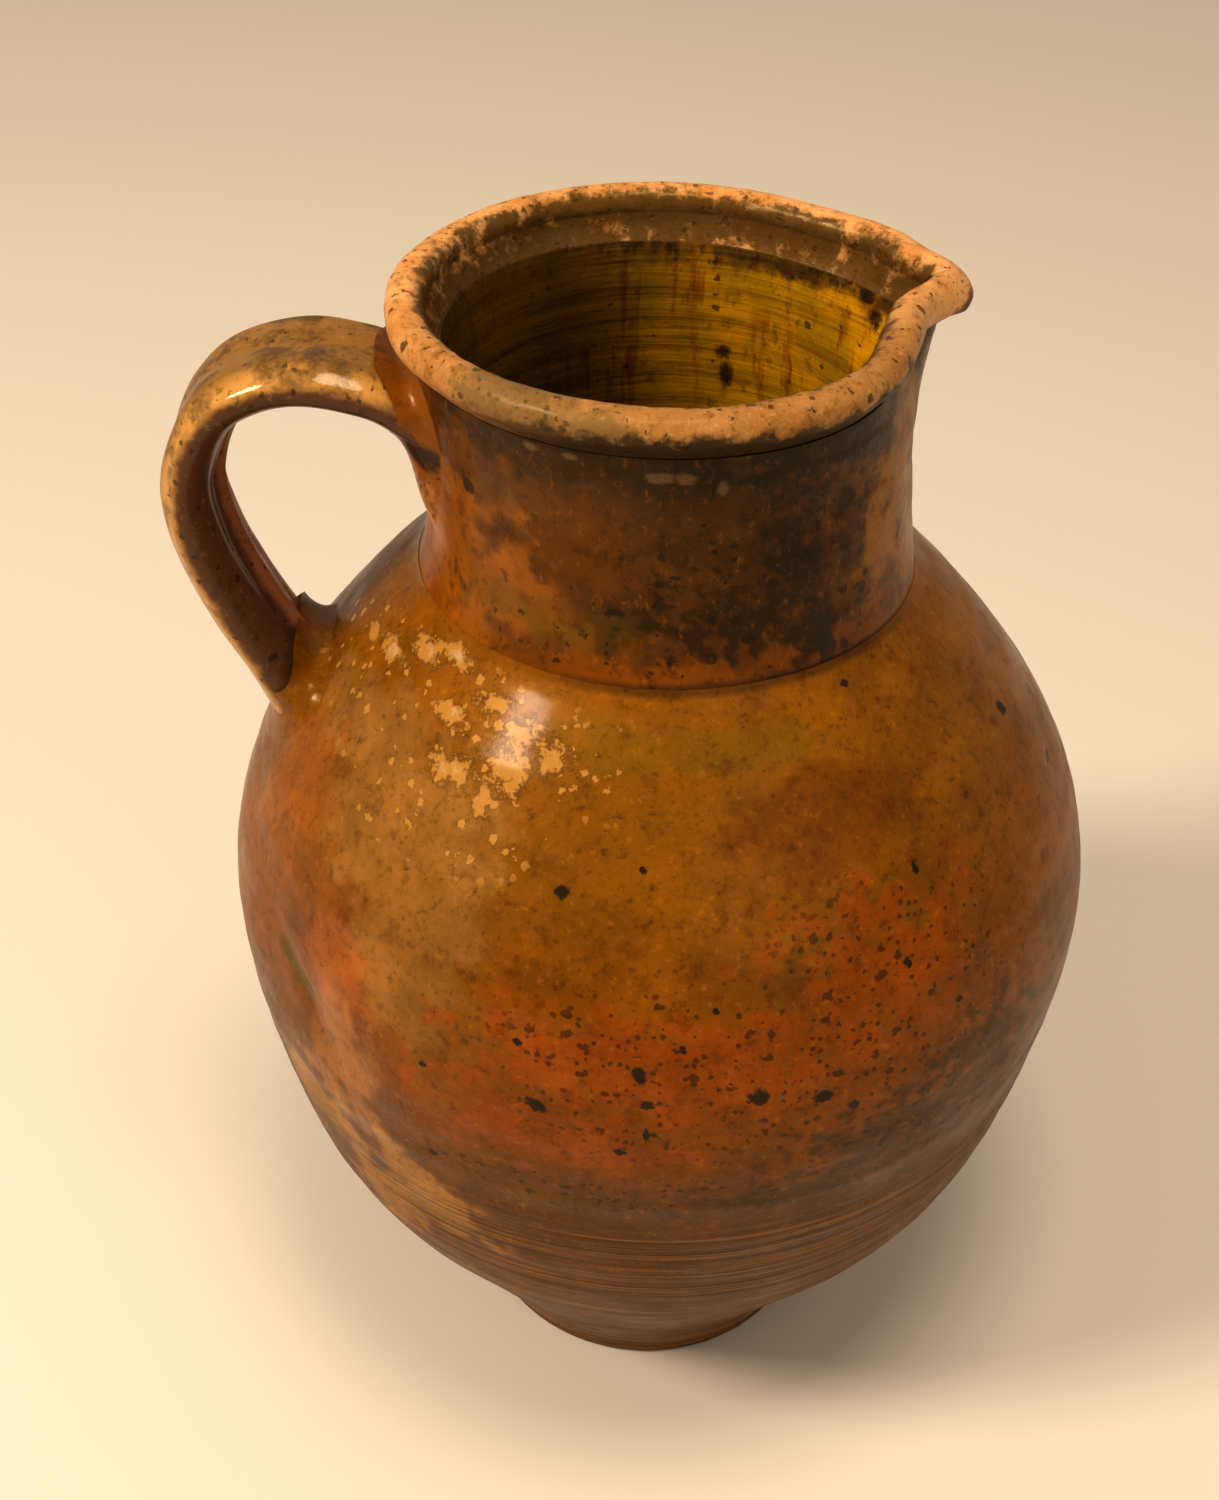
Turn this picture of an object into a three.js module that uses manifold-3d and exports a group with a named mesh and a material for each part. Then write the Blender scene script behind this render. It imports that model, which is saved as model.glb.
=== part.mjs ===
import * as THREE from "three";
import { mergeVertices } from "three/addons/utils/BufferGeometryUtils.js";
import Module from "manifold-3d";

// A wheel-thrown, wood-fired stoneware pouring jug: round belly, straight neck, rolled rim with a
// pinched spout, and a pulled strap handle. Millimetres, +Z up. The origin is the centre of the flat
// foot, the spout points roughly along +X and the handle roughly along -X.

// Radii of the thrown outline, outside
const footRadius = 52;
const bellyRadius = 120;
const neckRadius = 62.8; // at the join with the shoulder
const throatRadius = 60.6; // the narrowest place of the neck
const rimRadius = 62.3; // centre line of the rolled rim

// Heights above the foot
const bellyHeight = 168; // the widest place
const shoulderRise = 104.7; // from the widest place to the join of the neck
const neckRise = 68; // from the join to the centre line of the rolled rim
const turnedShare = 0.84; // the turned band ends at this share of the height of the widest place

// Walls and fits
const floorThickness = 9;
const bellyWall = 6.6;
const neckWall = 6.5;
const rollRadius = 4.9;
const rollSeat = 7.8; // from the centre line of the roll down to the top edge of the neck wall
const footChamfer = 1.5;
const glazeThickness = 0.5;
const clearance = 0.3; // between neighbouring pieces

// Strap handle: its section, and its centre line measured from the neck wall and the widest place
const handleDirection = 181; // degrees round from +X
const handleShift = 5; // the strap's plane passes this far beside the axis
const strapWidth = 37;
const strapThickness = 14;
const handleReach = 60; // from the throat's wall out to the strap's centre line at its farthest
const handleSink = 5; // how far the centre line's ends run into the wall before they are trimmed
const handleTop = 24; // below the centre line of the roll, where the strap leaves the neck
const handleCrown = 15.5; // below the centre line of the roll, at the top of the bend
const handleFoot = 64; // above the widest place, where the strap meets the shoulder

// Clay pressed round the handle's two roots
const luteBorder = 5; // how far it spreads past the strap's edges
const luteHeight = 9; // how far it climbs along the strap
const tailDrop = 9; // the pressed tail below the lower root

// Pinched spout
const spoutDirection = 15; // degrees round from +X
const spoutDepth = 38; // how far down the neck it starts
const spoutReach = 10;
const spoutDip = 1;
const rimLean = -3.3; // the rim sits this far off the foot's axis, towards the handle

// Fineness of the round pieces
const ringSteps = 60;
const lowerSteps = 7;
const upperSteps = 9;
const neckSteps = 4;
const rollSteps = 11;
const strapSteps = 26;
const sectionSteps = 16;

const shoulderHeight = bellyHeight + shoulderRise;
const rimHeight = shoulderHeight + neckRise;
const neckTop = rimHeight - rollSeat;
const turnedHeight = bellyHeight * turnedShare;

const wasm = await Module();
wasm.setup();

// The outline of the belly: [share of the rise, share of the swelling] between its three main rings.
function bellyOutline() {
  const swelling = [[0.12, 0.125], [0.35, 0.48], [0.6, 0.815]];
  const closing = [[0.42, 0.845], [0.77, 0.41]];
  const points = [new THREE.Vector2(footRadius, 0)];
  for (const [rise, swell] of swelling) {
    const radius = THREE.MathUtils.lerp(footRadius, bellyRadius, swell);
    points.push(new THREE.Vector2(radius, bellyHeight * rise));
  }
  points.push(new THREE.Vector2(bellyRadius, bellyHeight));
  for (const [rise, swell] of closing) {
    const radius = THREE.MathUtils.lerp(neckRadius, bellyRadius, swell);
    points.push(new THREE.Vector2(radius, bellyHeight + shoulderRise * rise));
  }
  points.push(new THREE.Vector2(neckRadius, shoulderHeight));
  return new THREE.SplineCurve(points);
}

// The outline of the neck, from the join up to the seat of the roll.
function neckOutline() {
  return new THREE.SplineCurve([
    new THREE.Vector2(neckRadius, shoulderHeight),
    new THREE.Vector2(throatRadius, THREE.MathUtils.lerp(shoulderHeight, rimHeight, 0.6)),
    new THREE.Vector2(rimRadius, rimHeight),
  ]);
}

// The same outline moved in by the thickness of the wall, square to the wall.
function insideOf(points, thickness) {
  return points.map((point, i) => {
    const before = points[Math.max(i - 1, 0)];
    const after = points[Math.min(i + 1, points.length - 1)];
    const along = new THREE.Vector2().subVectors(after, before).normalize();
    return new THREE.Vector2(point.x - along.y * thickness, point.y + along.x * thickness);
  });
}

// The radius at a height, read off a chain of points that only climbs.
function radiusAt(points, height) {
  const above = points.findIndex((point) => point.y >= height);
  if (above <= 0) return points[above === 0 ? 0 : points.length - 1].x;
  const low = points[above - 1];
  const high = points[above];
  return THREE.MathUtils.mapLinear(height, low.y, high.y, low.x, high.x);
}

const outlineFineness = 120;
const bellyOutside = bellyOutline().getPoints(outlineFineness);
const neckOutside = neckOutline().getPoints(outlineFineness);
const inside = [...insideOf(bellyOutside, bellyWall), ...insideOf(neckOutside, neckWall)];

function spread(bottom, top, steps) {
  return Array.from({ length: steps + 1 }, (_, i) => THREE.MathUtils.lerp(bottom, top, i / steps));
}

// The heights where the wall bends, shared by each stretch of wall and the glaze that lines it.
const lowerHeights = spread(floorThickness, turnedHeight, lowerSteps);
const upperHeights = spread(turnedHeight, shoulderHeight, upperSteps);
const neckHeights = spread(shoulderHeight, neckTop, neckSteps);

// One ring of wall, as a profile that runs up outside and down inside, short of its neighbours.
function wallProfile(outside, heights, gapBelow, gapAbove) {
  const trimmed = heights.map((height, i) => {
    if (i === 0) return height + gapBelow;
    return i === heights.length - 1 ? height - gapAbove : height;
  });
  const up = trimmed.map((height) => new THREE.Vector2(radiusAt(outside, height), height));
  const down = trimmed.map((height) => new THREE.Vector2(radiusAt(inside, height), height));
  return [...up, ...down.reverse()];
}

function closed(profile) {
  return [...profile, profile[0].clone()];
}

// Turns a profile of (radius, height) about +Z. The lathe itself turns about +Y.
function turned(profile) {
  const geometry = new THREE.LatheGeometry(profile, ringSteps);
  geometry.rotateX(Math.PI / 2);
  return geometry;
}

// Mirrors a turned piece, so that its facets split the same way as those of the wall around it.
function mirrored(geometry) {
  geometry.scale(-1, 1, 1);
  const index = geometry.getIndex();
  for (let i = 0; i < index.count; i += 3) {
    const first = index.getX(i);
    index.setX(i, index.getX(i + 2));
    index.setX(i + 2, first);
  }
  return geometry;
}

function bump(offset, width) {
  return Math.exp(-((offset / width) ** 2));
}

// How far the wall is pushed out (or in, on the near flank) at an angle from the spout, in degrees.
// The channel is broad where it starts and narrows to the lip, and only the lip's flanks are pinched.
function spoutPush(turn, rise) {
  const tip = bump(turn, THREE.MathUtils.lerp(24, 9, rise));
  const flank = 0.44 * bump(turn - 17, 12) - 0.48 * bump(turn + 28, 24);
  return spoutReach * (rise * tip + rise ** 3 * flank);
}

// Presses the spout into the upper neck and leans the rim off the axis, for every piece alike.
function settle(geometry) {
  const position = geometry.getAttribute("position");
  for (let i = 0; i < position.count; i += 1) {
    const x = position.getX(i);
    const y = position.getY(i);
    const z = position.getZ(i);
    const radius = Math.hypot(x, y);
    const rise = THREE.MathUtils.smoothstep(z, rimHeight - spoutDepth, rimHeight);
    const angle = Math.atan2(y, x);
    const turn = THREE.MathUtils.euclideanModulo(
      THREE.MathUtils.radToDeg(angle) - spoutDirection + 180, 360) - 180;
    const push = spoutPush(turn, rise);
    const lean = rimLean * THREE.MathUtils.smoothstep(z, shoulderHeight, rimHeight);
    position.setXYZ(
      i,
      (radius + push) * Math.cos(angle) + lean,
      (radius + push) * Math.sin(angle),
      z - rise * spoutDip * bump(turn, 14),
    );
  }
  geometry.computeVertexNormals();
  return geometry;
}

function footSlab() {
  const edge = radiusAt(bellyOutside, floorThickness);
  return turned([
    new THREE.Vector2(0, 0),
    new THREE.Vector2(footRadius - footChamfer, 0),
    new THREE.Vector2(radiusAt(bellyOutside, footChamfer), footChamfer),
    new THREE.Vector2(edge, floorThickness),
    new THREE.Vector2(0, floorThickness),
  ]);
}

function lowerBelly() {
  return turned(closed(wallProfile(bellyOutside, lowerHeights, clearance, 0)));
}

function upperBelly() {
  return turned(closed(wallProfile(bellyOutside, upperHeights, clearance, clearance)));
}

function neckCollar() {
  return settle(turned(closed(wallProfile(neckOutside, neckHeights, 0, 0))));
}

// The roll stands on the neck's top edge: the two seat points, then round over the top.
function rolledRim() {
  const seat = neckTop + clearance;
  const profile = [
    new THREE.Vector2(radiusAt(inside, neckTop), seat),
    new THREE.Vector2(radiusAt(neckOutside, neckTop), seat),
  ];
  const start = -0.2 * Math.PI;
  const end = 1.08 * Math.PI;
  for (let i = 0; i <= rollSteps; i += 1) {
    const angle = THREE.MathUtils.lerp(start, end, i / rollSteps);
    const x = rimRadius + rollRadius * Math.cos(angle);
    const y = rimHeight + rollRadius * Math.sin(angle);
    profile.push(new THREE.Vector2(x, y));
  }
  return settle(turned(closed(profile)));
}

// The glaze coat inside: a thin cup that lies against the floor and the wall up to the roll.
function glazeLining() {
  const floor = floorThickness + clearance;
  const heights = [...lowerHeights.slice(1), ...upperHeights.slice(1), ...neckHeights.slice(1)];
  const wall = heights.map((height) => new THREE.Vector2(radiusAt(inside, height), height));
  const outer = insideOf(wall, clearance);
  const inner = insideOf(wall, clearance + glazeThickness);
  outer[outer.length - 1].y = neckTop;
  inner[inner.length - 1].y = neckTop;
  const corner = radiusAt(inside, floorThickness) - bellyWall / 2;
  return settle(mirrored(turned([
    new THREE.Vector2(0, floor),
    new THREE.Vector2(corner, floor),
    ...outer,
    ...inner.reverse(),
    new THREE.Vector2(corner, floor + glazeThickness),
    new THREE.Vector2(0, floor + glazeThickness),
  ])));
}

// The upright plane of the handle: a distance outwards and a height.
function inHandlePlane(distance, height) {
  const angle = THREE.MathUtils.degToRad(handleDirection);
  const x = distance * Math.cos(angle) - handleShift * Math.sin(angle);
  const y = distance * Math.sin(angle) + handleShift * Math.cos(angle);
  return new THREE.Vector3(x, y, height);
}

// The centre line of the strap, from inside the neck wall, over the crown and down to the shoulder.
function handleLine() {
  const top = rimHeight - handleTop;
  const crown = rimHeight - handleCrown;
  const foot = bellyHeight + handleFoot;
  const root = radiusAt(bellyOutside, foot);
  const far = throatRadius + handleReach;
  const limb = (outwards, down) => inHandlePlane(
    THREE.MathUtils.lerp(root, far, outwards), THREE.MathUtils.lerp(crown, foot, down));
  return new THREE.CatmullRomCurve3([
    inHandlePlane(throatRadius - handleSink, top - 3),
    inHandlePlane(throatRadius + handleReach * 0.24, THREE.MathUtils.lerp(top, crown, 0.78)),
    inHandlePlane(throatRadius + handleReach * 0.56, crown),
    inHandlePlane(throatRadius + handleReach * 0.85, THREE.MathUtils.lerp(crown, foot, 0.09)),
    limb(1, 0.31),
    limb(0.9, 0.51),
    limb(0.57, 0.71),
    limb(0.21, 0.87),
    inHandlePlane(root - handleSink, foot - handleSink),
  ]);
}

function flattened(value) {
  return Math.sign(value) * Math.abs(value) ** 0.9;
}

// The strap's section, an oval with flattened faces. The extrusion lays its y along the thickness.
function strapSection(extra) {
  const shape = new THREE.Shape();
  for (let i = 0; i < sectionSteps; i += 1) {
    const angle = (2 * Math.PI * i) / sectionSteps;
    const x = (strapWidth / 2 + extra) * flattened(Math.cos(angle));
    const y = (strapThickness / 2 + extra) * flattened(Math.sin(angle));
    if (i === 0) shape.moveTo(x, y);
    else shape.lineTo(x, y);
  }
  shape.closePath();
  return shape;
}

function strap(extra) {
  return new THREE.ExtrudeGeometry(strapSection(extra), {
    steps: strapSteps,
    bevelEnabled: false,
    extrudePath: handleLine(),
  });
}

function solidOf(geometry) {
  const bare = geometry.clone();
  bare.deleteAttribute("normal");
  bare.deleteAttribute("uv");
  const merged = mergeVertices(bare, 1e-4);
  return new wasm.Manifold(new wasm.Mesh({
    numProp: 3,
    vertProperties: new Float32Array(merged.getAttribute("position").array),
    triVerts: new Uint32Array(merged.index.array),
  }));
}

function geometryOf(solid) {
  const mesh = solid.getMesh();
  const geometry = new THREE.BufferGeometry();
  geometry.setAttribute("position", new THREE.BufferAttribute(new Float32Array(mesh.vertProperties), 3));
  geometry.setIndex(new THREE.BufferAttribute(new Uint32Array(mesh.triVerts), 1));
  geometry.computeVertexNormals();
  return geometry;
}

// The whole jug without its handle, filled and grown by the clearance: what the handle is trimmed to.
function filledBody() {
  const onBelly = [...lowerHeights, ...upperHeights.slice(1)];
  const wall = [
    ...onBelly.map((height) => new THREE.Vector2(radiusAt(bellyOutside, height), height)),
    ...neckHeights.slice(1).map((height) => new THREE.Vector2(radiusAt(neckOutside, height), height)),
  ];
  const grown = insideOf(wall, -clearance);
  const rollEdge = rimRadius + rollRadius + clearance;
  return settle(turned([
    new THREE.Vector2(0, grown[0].y),
    ...grown,
    new THREE.Vector2(rollEdge, rimHeight - rollRadius),
    new THREE.Vector2(rollEdge, rimHeight + rollRadius),
    new THREE.Vector2(0, rimHeight + rollRadius),
  ]));
}

const bodySolid = solidOf(filledBody());

function strapHandle() {
  return geometryOf(solidOf(strap(0)).subtract(bodySolid));
}

// How far the wall at a height leans in from upright, as an angle.
function wallTilt(outside, height) {
  const reach = strapThickness / 2;
  return Math.atan2(radiusAt(outside, height - reach) - radiusAt(outside, height + reach), 2 * reach);
}

// A pad of clay pressed flat on the wall round the strap, with the body and the strap cut out of it.
function lutePad(outside, height, halfLength) {
  const pad = new THREE.SphereGeometry(1, 20, 12);
  pad.scale(luteHeight, strapWidth / 2 + luteBorder, halfLength);
  pad.rotateY(-wallTilt(outside, height));
  pad.rotateZ(THREE.MathUtils.degToRad(handleDirection));
  const centre = inHandlePlane(radiusAt(outside, height), height);
  pad.translate(centre.x, centre.y, centre.z);
  return geometryOf(solidOf(pad).subtract(bodySolid).subtract(solidOf(strap(clearance))));
}

function upperLute() {
  const sag = 2; // the pad is pressed a little lower than the strap
  return lutePad(neckOutside, rimHeight - handleTop - sag, strapThickness / 2 + luteBorder + sag);
}

function lowerLute() {
  return lutePad(bellyOutside, bellyHeight + handleFoot, strapThickness / 2 + tailDrop);
}

function clay(color, roughness) {
  return new THREE.MeshStandardMaterial({ color, roughness, metalness: 0 });
}

function piece(name, geometry, material) {
  const mesh = new THREE.Mesh(geometry, material);
  mesh.name = name;
  return mesh;
}

const turnedClay = clay(0x6b4430, 0.55);
const saltGlaze = clay(0x8f4f22, 0.38);
const darkGlaze = clay(0x54301c, 0.42);
const toastedClay = clay(0xb07a4e, 0.6);
const ochreGlaze = clay(0x7d6420, 0.25);

const jug = new THREE.Group();
jug.add(piece("foot_slab", footSlab(), turnedClay));
jug.add(piece("lower_belly", lowerBelly(), turnedClay));
jug.add(piece("upper_belly", upperBelly(), saltGlaze));
jug.add(piece("neck_collar", neckCollar(), darkGlaze));
jug.add(piece("rolled_rim", rolledRim(), toastedClay));
jug.add(piece("strap_handle", strapHandle(), saltGlaze));
jug.add(piece("upper_lute", upperLute(), darkGlaze));
jug.add(piece("lower_lute", lowerLute(), saltGlaze));
jug.add(piece("glaze_lining", glazeLining(), ochreGlaze));

export default jug;
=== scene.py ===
# Wood-fired stoneware pouring jug, thrown on the wheel, with a pulled strap handle
import math
import bpy
import numpy as np
from mathutils import Matrix, Vector, noise


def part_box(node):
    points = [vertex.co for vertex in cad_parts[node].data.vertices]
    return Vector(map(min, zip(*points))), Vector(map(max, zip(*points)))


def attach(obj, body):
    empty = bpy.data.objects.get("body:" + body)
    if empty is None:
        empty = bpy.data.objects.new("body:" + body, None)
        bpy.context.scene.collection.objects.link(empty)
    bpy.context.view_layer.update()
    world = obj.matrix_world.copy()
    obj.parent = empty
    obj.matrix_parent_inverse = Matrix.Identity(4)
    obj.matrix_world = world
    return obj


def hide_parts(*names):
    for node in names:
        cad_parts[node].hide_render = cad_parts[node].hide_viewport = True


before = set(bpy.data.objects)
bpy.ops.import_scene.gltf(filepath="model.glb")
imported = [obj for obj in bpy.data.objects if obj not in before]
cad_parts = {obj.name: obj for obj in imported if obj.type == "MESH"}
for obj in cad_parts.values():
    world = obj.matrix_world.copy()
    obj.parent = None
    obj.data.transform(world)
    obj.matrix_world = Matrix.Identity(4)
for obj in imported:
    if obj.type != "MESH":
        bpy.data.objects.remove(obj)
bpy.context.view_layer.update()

mm = 0.001


def deselectAll():
    if bpy.context.mode != "OBJECT":
        bpy.ops.object.mode_set(mode="OBJECT")
    bpy.ops.object.select_all(action="DESELECT")


def clamp(value, low=0.0, high=1.0):
    return min(max(value, low), high)


def ease(value, low, high):
    t = clamp((value - low) / (high - low))
    return t * t * (3 - 2 * t)


def bump(offset, width):
    return math.exp(-(offset / width) ** 2)


def mixed(a, b, t):
    return a + (b - a) * t


def turnFrom(angle, centre):  # degrees, between -180 and 180
    return (angle - centre + 180) % 360 - 180


# Heights and outlines of the thrown walls, read off the frame
def frontOutline(node, side):
    rings = {}
    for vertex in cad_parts[node].data.vertices:
        x, y, z = vertex.co
        if y < 0 and abs(x) < 4 * mm:
            rings.setdefault(round(z / mm, 1) * mm, []).append(-y)
    return [(height, side(radii)) for height, radii in sorted(rings.items())]


def smoothCurve(points):
    heights = np.array([p[0] for p in points])
    radii = np.array([p[1] for p in points])
    slopes = np.gradient(radii, heights)

    def radius(height):
        i = int(clamp(np.searchsorted(heights, height) - 1, 0, len(heights) - 2))
        span = heights[i + 1] - heights[i]
        t = clamp((height - heights[i]) / span)
        return float((2 * t ** 3 - 3 * t ** 2 + 1) * radii[i]
                     + (t ** 3 - 2 * t ** 2 + t) * span * slopes[i]
                     + (3 * t ** 2 - 2 * t ** 3) * radii[i + 1]
                     + (t ** 3 - t ** 2) * span * slopes[i + 1])
    return radius


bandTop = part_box("lower_belly")[1].z
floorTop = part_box("foot_slab")[1].z
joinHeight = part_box("neck_collar")[0].z
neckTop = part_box("neck_collar")[1].z
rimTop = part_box("rolled_rim")[1].z
roll = 4.9 * mm
rimHeight = rimTop - roll
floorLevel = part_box("foot_slab")[0].z

footEdge = frontOutline("foot_slab", max)
bellyRings = frontOutline("lower_belly", max)[:-1] + frontOutline("upper_belly", max)
bellyRadius = smoothCurve([footEdge[1]] + bellyRings)
neckRadius = smoothCurve(frontOutline("neck_collar", max))
insideRings = (frontOutline("lower_belly", min)[:-1] + frontOutline("upper_belly", min)[:-1]
               + frontOutline("neck_collar", min))
insideRadius = smoothCurve(insideRings)
print("outlines read off the frame")

spout = {"direction": 15, "depth": 38 * mm, "reach": 10 * mm, "dip": 1 * mm, "dipWidth": 14,
         "lean": -3.3 * mm, "widthLow": 24, "widthHigh": 9,
         "bulge": 0.44, "bulgeTurn": 17, "bulgeWidth": 12, "pinch": 0.48, "pinchTurn": -28, "pinchWidth": 24}
wear = {"dentAngle": 219, "dentHeight": 178 * mm, "dentDepth": 3.6 * mm, "dentWidth": 15,
        "dentTall": 19 * mm, "crease": 1.1 * mm, "creaseWidth": 3.2, "creaseTall": 11 * mm,
        "swelling": 1.0 * mm, "swellingTurn": 17, "swellingWidth": 7, "swellingTall": 16 * mm,
        "wobble": 0.45 * mm, "throwing": 0.28 * mm, "throwingPitch": 4.5 * mm, "grain": 0.12 * mm,
        "grainTall": 9 * mm, "grooveDepth": 0.5 * mm, "grooveWidth": 0.8 * mm,
        "fillet": 2.3 * mm, "filletAngle": 212, "filletWidth": 55, "filletBelow": 4 * mm,
        "filletAbove": 4.5 * mm}


def settle(co):  # the pinched spout and the leaning rim, as in the frame
    rise = ease(co.z, rimHeight - spout["depth"], rimHeight)
    angle = math.degrees(math.atan2(co.y, co.x))
    turn = turnFrom(angle, spout["direction"])
    flank = (spout["bulge"] * bump(turn - spout["bulgeTurn"], spout["bulgeWidth"])
             - spout["pinch"] * bump(turn - spout["pinchTurn"], spout["pinchWidth"]))
    width = mixed(spout["widthLow"], spout["widthHigh"], rise)
    push = spout["reach"] * (rise * bump(turn, width) + rise ** 3 * flank)
    lean = spout["lean"] * ease(co.z, joinHeight, rimHeight)
    radius = math.hypot(co.x, co.y) + push
    dip = rise * spout["dip"] * bump(turn, spout["dipWidth"])
    return Vector((radius * math.cos(math.radians(angle)) + lean, radius * math.sin(math.radians(angle)),
                   co.z - dip))


def handWork(co, depth=1.0):  # what hands and fire did to the true turned wall, as a change of radius
    angle = math.degrees(math.atan2(co.y, co.x)) % 360
    around = Vector((math.cos(math.radians(angle)), math.sin(math.radians(angle)), co.z / (60 * mm)))
    change = wear["wobble"] * noise.noise(around * 0.9)
    coil = Vector((around.x * 0.25, around.y * 0.25, co.z / wear["throwingPitch"]))
    change += wear["throwing"] * noise.noise(coil)
    change += wear["grain"] * noise.noise(Vector((around.x * 9, around.y * 9, co.z / wear["grainTall"])))
    turn = turnFrom(angle, wear["dentAngle"])
    up = co.z - wear["dentHeight"] + 0.35 * mm * turn  # the dent leans a little
    dent = bump(turn, wear["dentWidth"]) * bump(up, wear["dentTall"])
    crease = bump(turn + up / (1.6 * mm), wear["creaseWidth"]) * bump(up, wear["creaseTall"])
    change -= depth * (wear["dentDepth"] * dent + wear["crease"] * crease)
    pushedOut = bump(turn - wear["swellingTurn"], wear["swellingWidth"]) * bump(up, wear["swellingTall"])
    change += depth * wear["swelling"] * pushedOut
    return change


# A profile is a chain of (radius, height), extruded point by point and then spun round the wheel's axis
def throwOnWheel(name, profile, steps):
    deselectAll()
    first = profile[0]
    bpy.ops.mesh.primitive_plane_add(size=mm, location=(0, 0, 0))
    piece = bpy.context.object
    piece.name = name
    piece.data.name = name
    bpy.ops.object.mode_set(mode="EDIT")
    bpy.ops.mesh.select_all(action="SELECT")
    bpy.ops.mesh.merge(type="CENTER")
    bpy.ops.transform.translate(value=(first[0], 0, first[1]))
    last = first
    for point in profile[1:]:
        step = (point[0] - last[0], 0, point[1] - last[1])
        bpy.ops.mesh.extrude_region_move(TRANSFORM_OT_translate={"value": step})
        last = point
    bpy.ops.mesh.select_all(action="SELECT")
    bpy.ops.mesh.remove_doubles(threshold=0.01 * mm)
    bpy.ops.mesh.select_all(action="SELECT")
    bpy.ops.mesh.spin(steps=steps, angle=2 * math.pi, center=(0, 0, 0), axis=(0, 0, 1))
    bpy.ops.mesh.select_all(action="SELECT")
    bpy.ops.mesh.remove_doubles(threshold=0.02 * mm)
    bpy.ops.mesh.normals_make_consistent(inside=False)
    bpy.ops.object.mode_set(mode="OBJECT")
    return piece


def reshape(piece, move):
    for vertex in piece.data.vertices:
        vertex.co = move(vertex.co.copy())
    piece.data.update()


def finishMesh(piece, angle=40):
    deselectAll()
    piece.select_set(True)
    bpy.context.view_layer.objects.active = piece
    bpy.ops.object.shade_smooth_by_angle(angle=math.radians(angle))


def spread(low, high, steps):
    return [mixed(low, high, i / steps) for i in range(steps + 1)]


def outward(co, change):
    radius = math.hypot(co.x, co.y)
    if radius < 1 * mm:
        return co
    scale = (radius + change) / radius
    return Vector((co.x * scale, co.y * scale, co.z))


# The turned foot: a low disc with a bevelled edge and a shallow hollow underneath
foot = {"bevel": 1.5 * mm, "rings": 12, "around": 288, "groove": 0.7 * mm, "grooveHeight": 5.2 * mm,
        "grooveWidth": 1 * mm, "hollow": 0.8 * mm, "hollowRadius": 40 * mm}


def makeFoot():
    edge = footEdge[0][1]
    profile = [(0, floorLevel + foot["hollow"]),
               (foot["hollowRadius"] - 4 * mm, floorLevel + foot["hollow"]),
               (foot["hollowRadius"], floorLevel + 0.3 * mm), (foot["hollowRadius"] + 2 * mm, floorLevel),
               (edge - 0.6 * mm, floorLevel), (edge, floorLevel + 0.15 * mm)]
    for height in spread(floorLevel + foot["bevel"], floorTop, foot["rings"]):
        profile.append((bellyRadius(height), height))
    profile.append((0, floorTop))
    piece = throwOnWheel("turnedFoot", profile, foot["around"])

    def footSurface(co):
        if co.z < floorLevel + foot["bevel"] / 2:
            return co
        groove = foot["groove"] * bump(co.z - foot["grooveHeight"], foot["grooveWidth"])
        return outward(co, handWork(co) - groove)

    reshape(piece, footSurface)
    finishMesh(piece)
    return piece


# The belly in two stretches: the turned lower part, and the smooth shoulder above it
belly = {"lowerRings": 100, "upperRings": 112, "insideRings": 40, "around": 360,
         "turningDepth": 0.22 * mm, "turningPitch": 2.1 * mm}


def joinGroove(angle):  # the seam under the neck is open in front and smoothed over on the left
    return clamp(0.1 + 0.9 * bump(turnFrom(angle, 298), 36) + 0.5 * bump(turnFrom(angle, 60), 80), 0, 1)


def joinFillet(angle):  # clay smoothed into the corner under the neck, fullest on the handle's side
    fullness = bump(turnFrom(angle, wear["filletAngle"]), wear["filletWidth"])
    return wear["fillet"] * (0.35 + 0.65 * fullness)


def bellySurface(co):
    angle = math.degrees(math.atan2(co.y, co.x)) % 360
    change = handWork(co)
    turned = 1 - ease(co.z, bandTop - 12 * mm, bandTop + 2 * mm)
    ridges = noise.noise(Vector((co.x * 3, co.y * 3, co.z / belly["turningPitch"])))
    change += turned * belly["turningDepth"] * ridges
    change -= wear["grooveDepth"] * joinGroove(angle) * bump(co.z - joinHeight, wear["grooveWidth"])
    change += joinFillet(angle) * math.exp((co.z - joinHeight) / wear["filletBelow"])
    return outward(co, change)


def makeBelly(name, low, high, rings):
    outside = [(bellyRadius(height), height) for height in spread(low, high, rings)]
    inside = [(insideRadius(height), height) for height in spread(high, low, belly["insideRings"])]
    piece = throwOnWheel(name, outside + inside + outside[:1], belly["around"])
    reshape(piece, lambda co: bellySurface(co)
            if math.hypot(co.x, co.y) > bellyRadius(co.z) - 3 * mm else co)
    finishMesh(piece)
    return piece


# The neck, and the groove where it was joined on
neck = {"rings": 58, "insideRings": 30, "around": 320, "handWork": 0.9, "ringDepth": 0.175 * mm,
        "ringPitch": 3.6 * mm}


def neckSurface(co):
    angle = math.degrees(math.atan2(co.y, co.x)) % 360
    change = neck["handWork"] * handWork(co, 0)
    change -= wear["grooveDepth"] * joinGroove(angle) * bump(co.z - joinHeight, wear["grooveWidth"])
    change += joinFillet(angle) * math.exp((joinHeight - co.z) / wear["filletAbove"])
    ringed = 1 - ease(co.z, joinHeight + 30 * mm, joinHeight + 50 * mm)  # throwing rings show low down
    change += neck["ringDepth"] * math.sin(co.z / neck["ringPitch"]) * ringed
    return outward(co, change)


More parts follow.
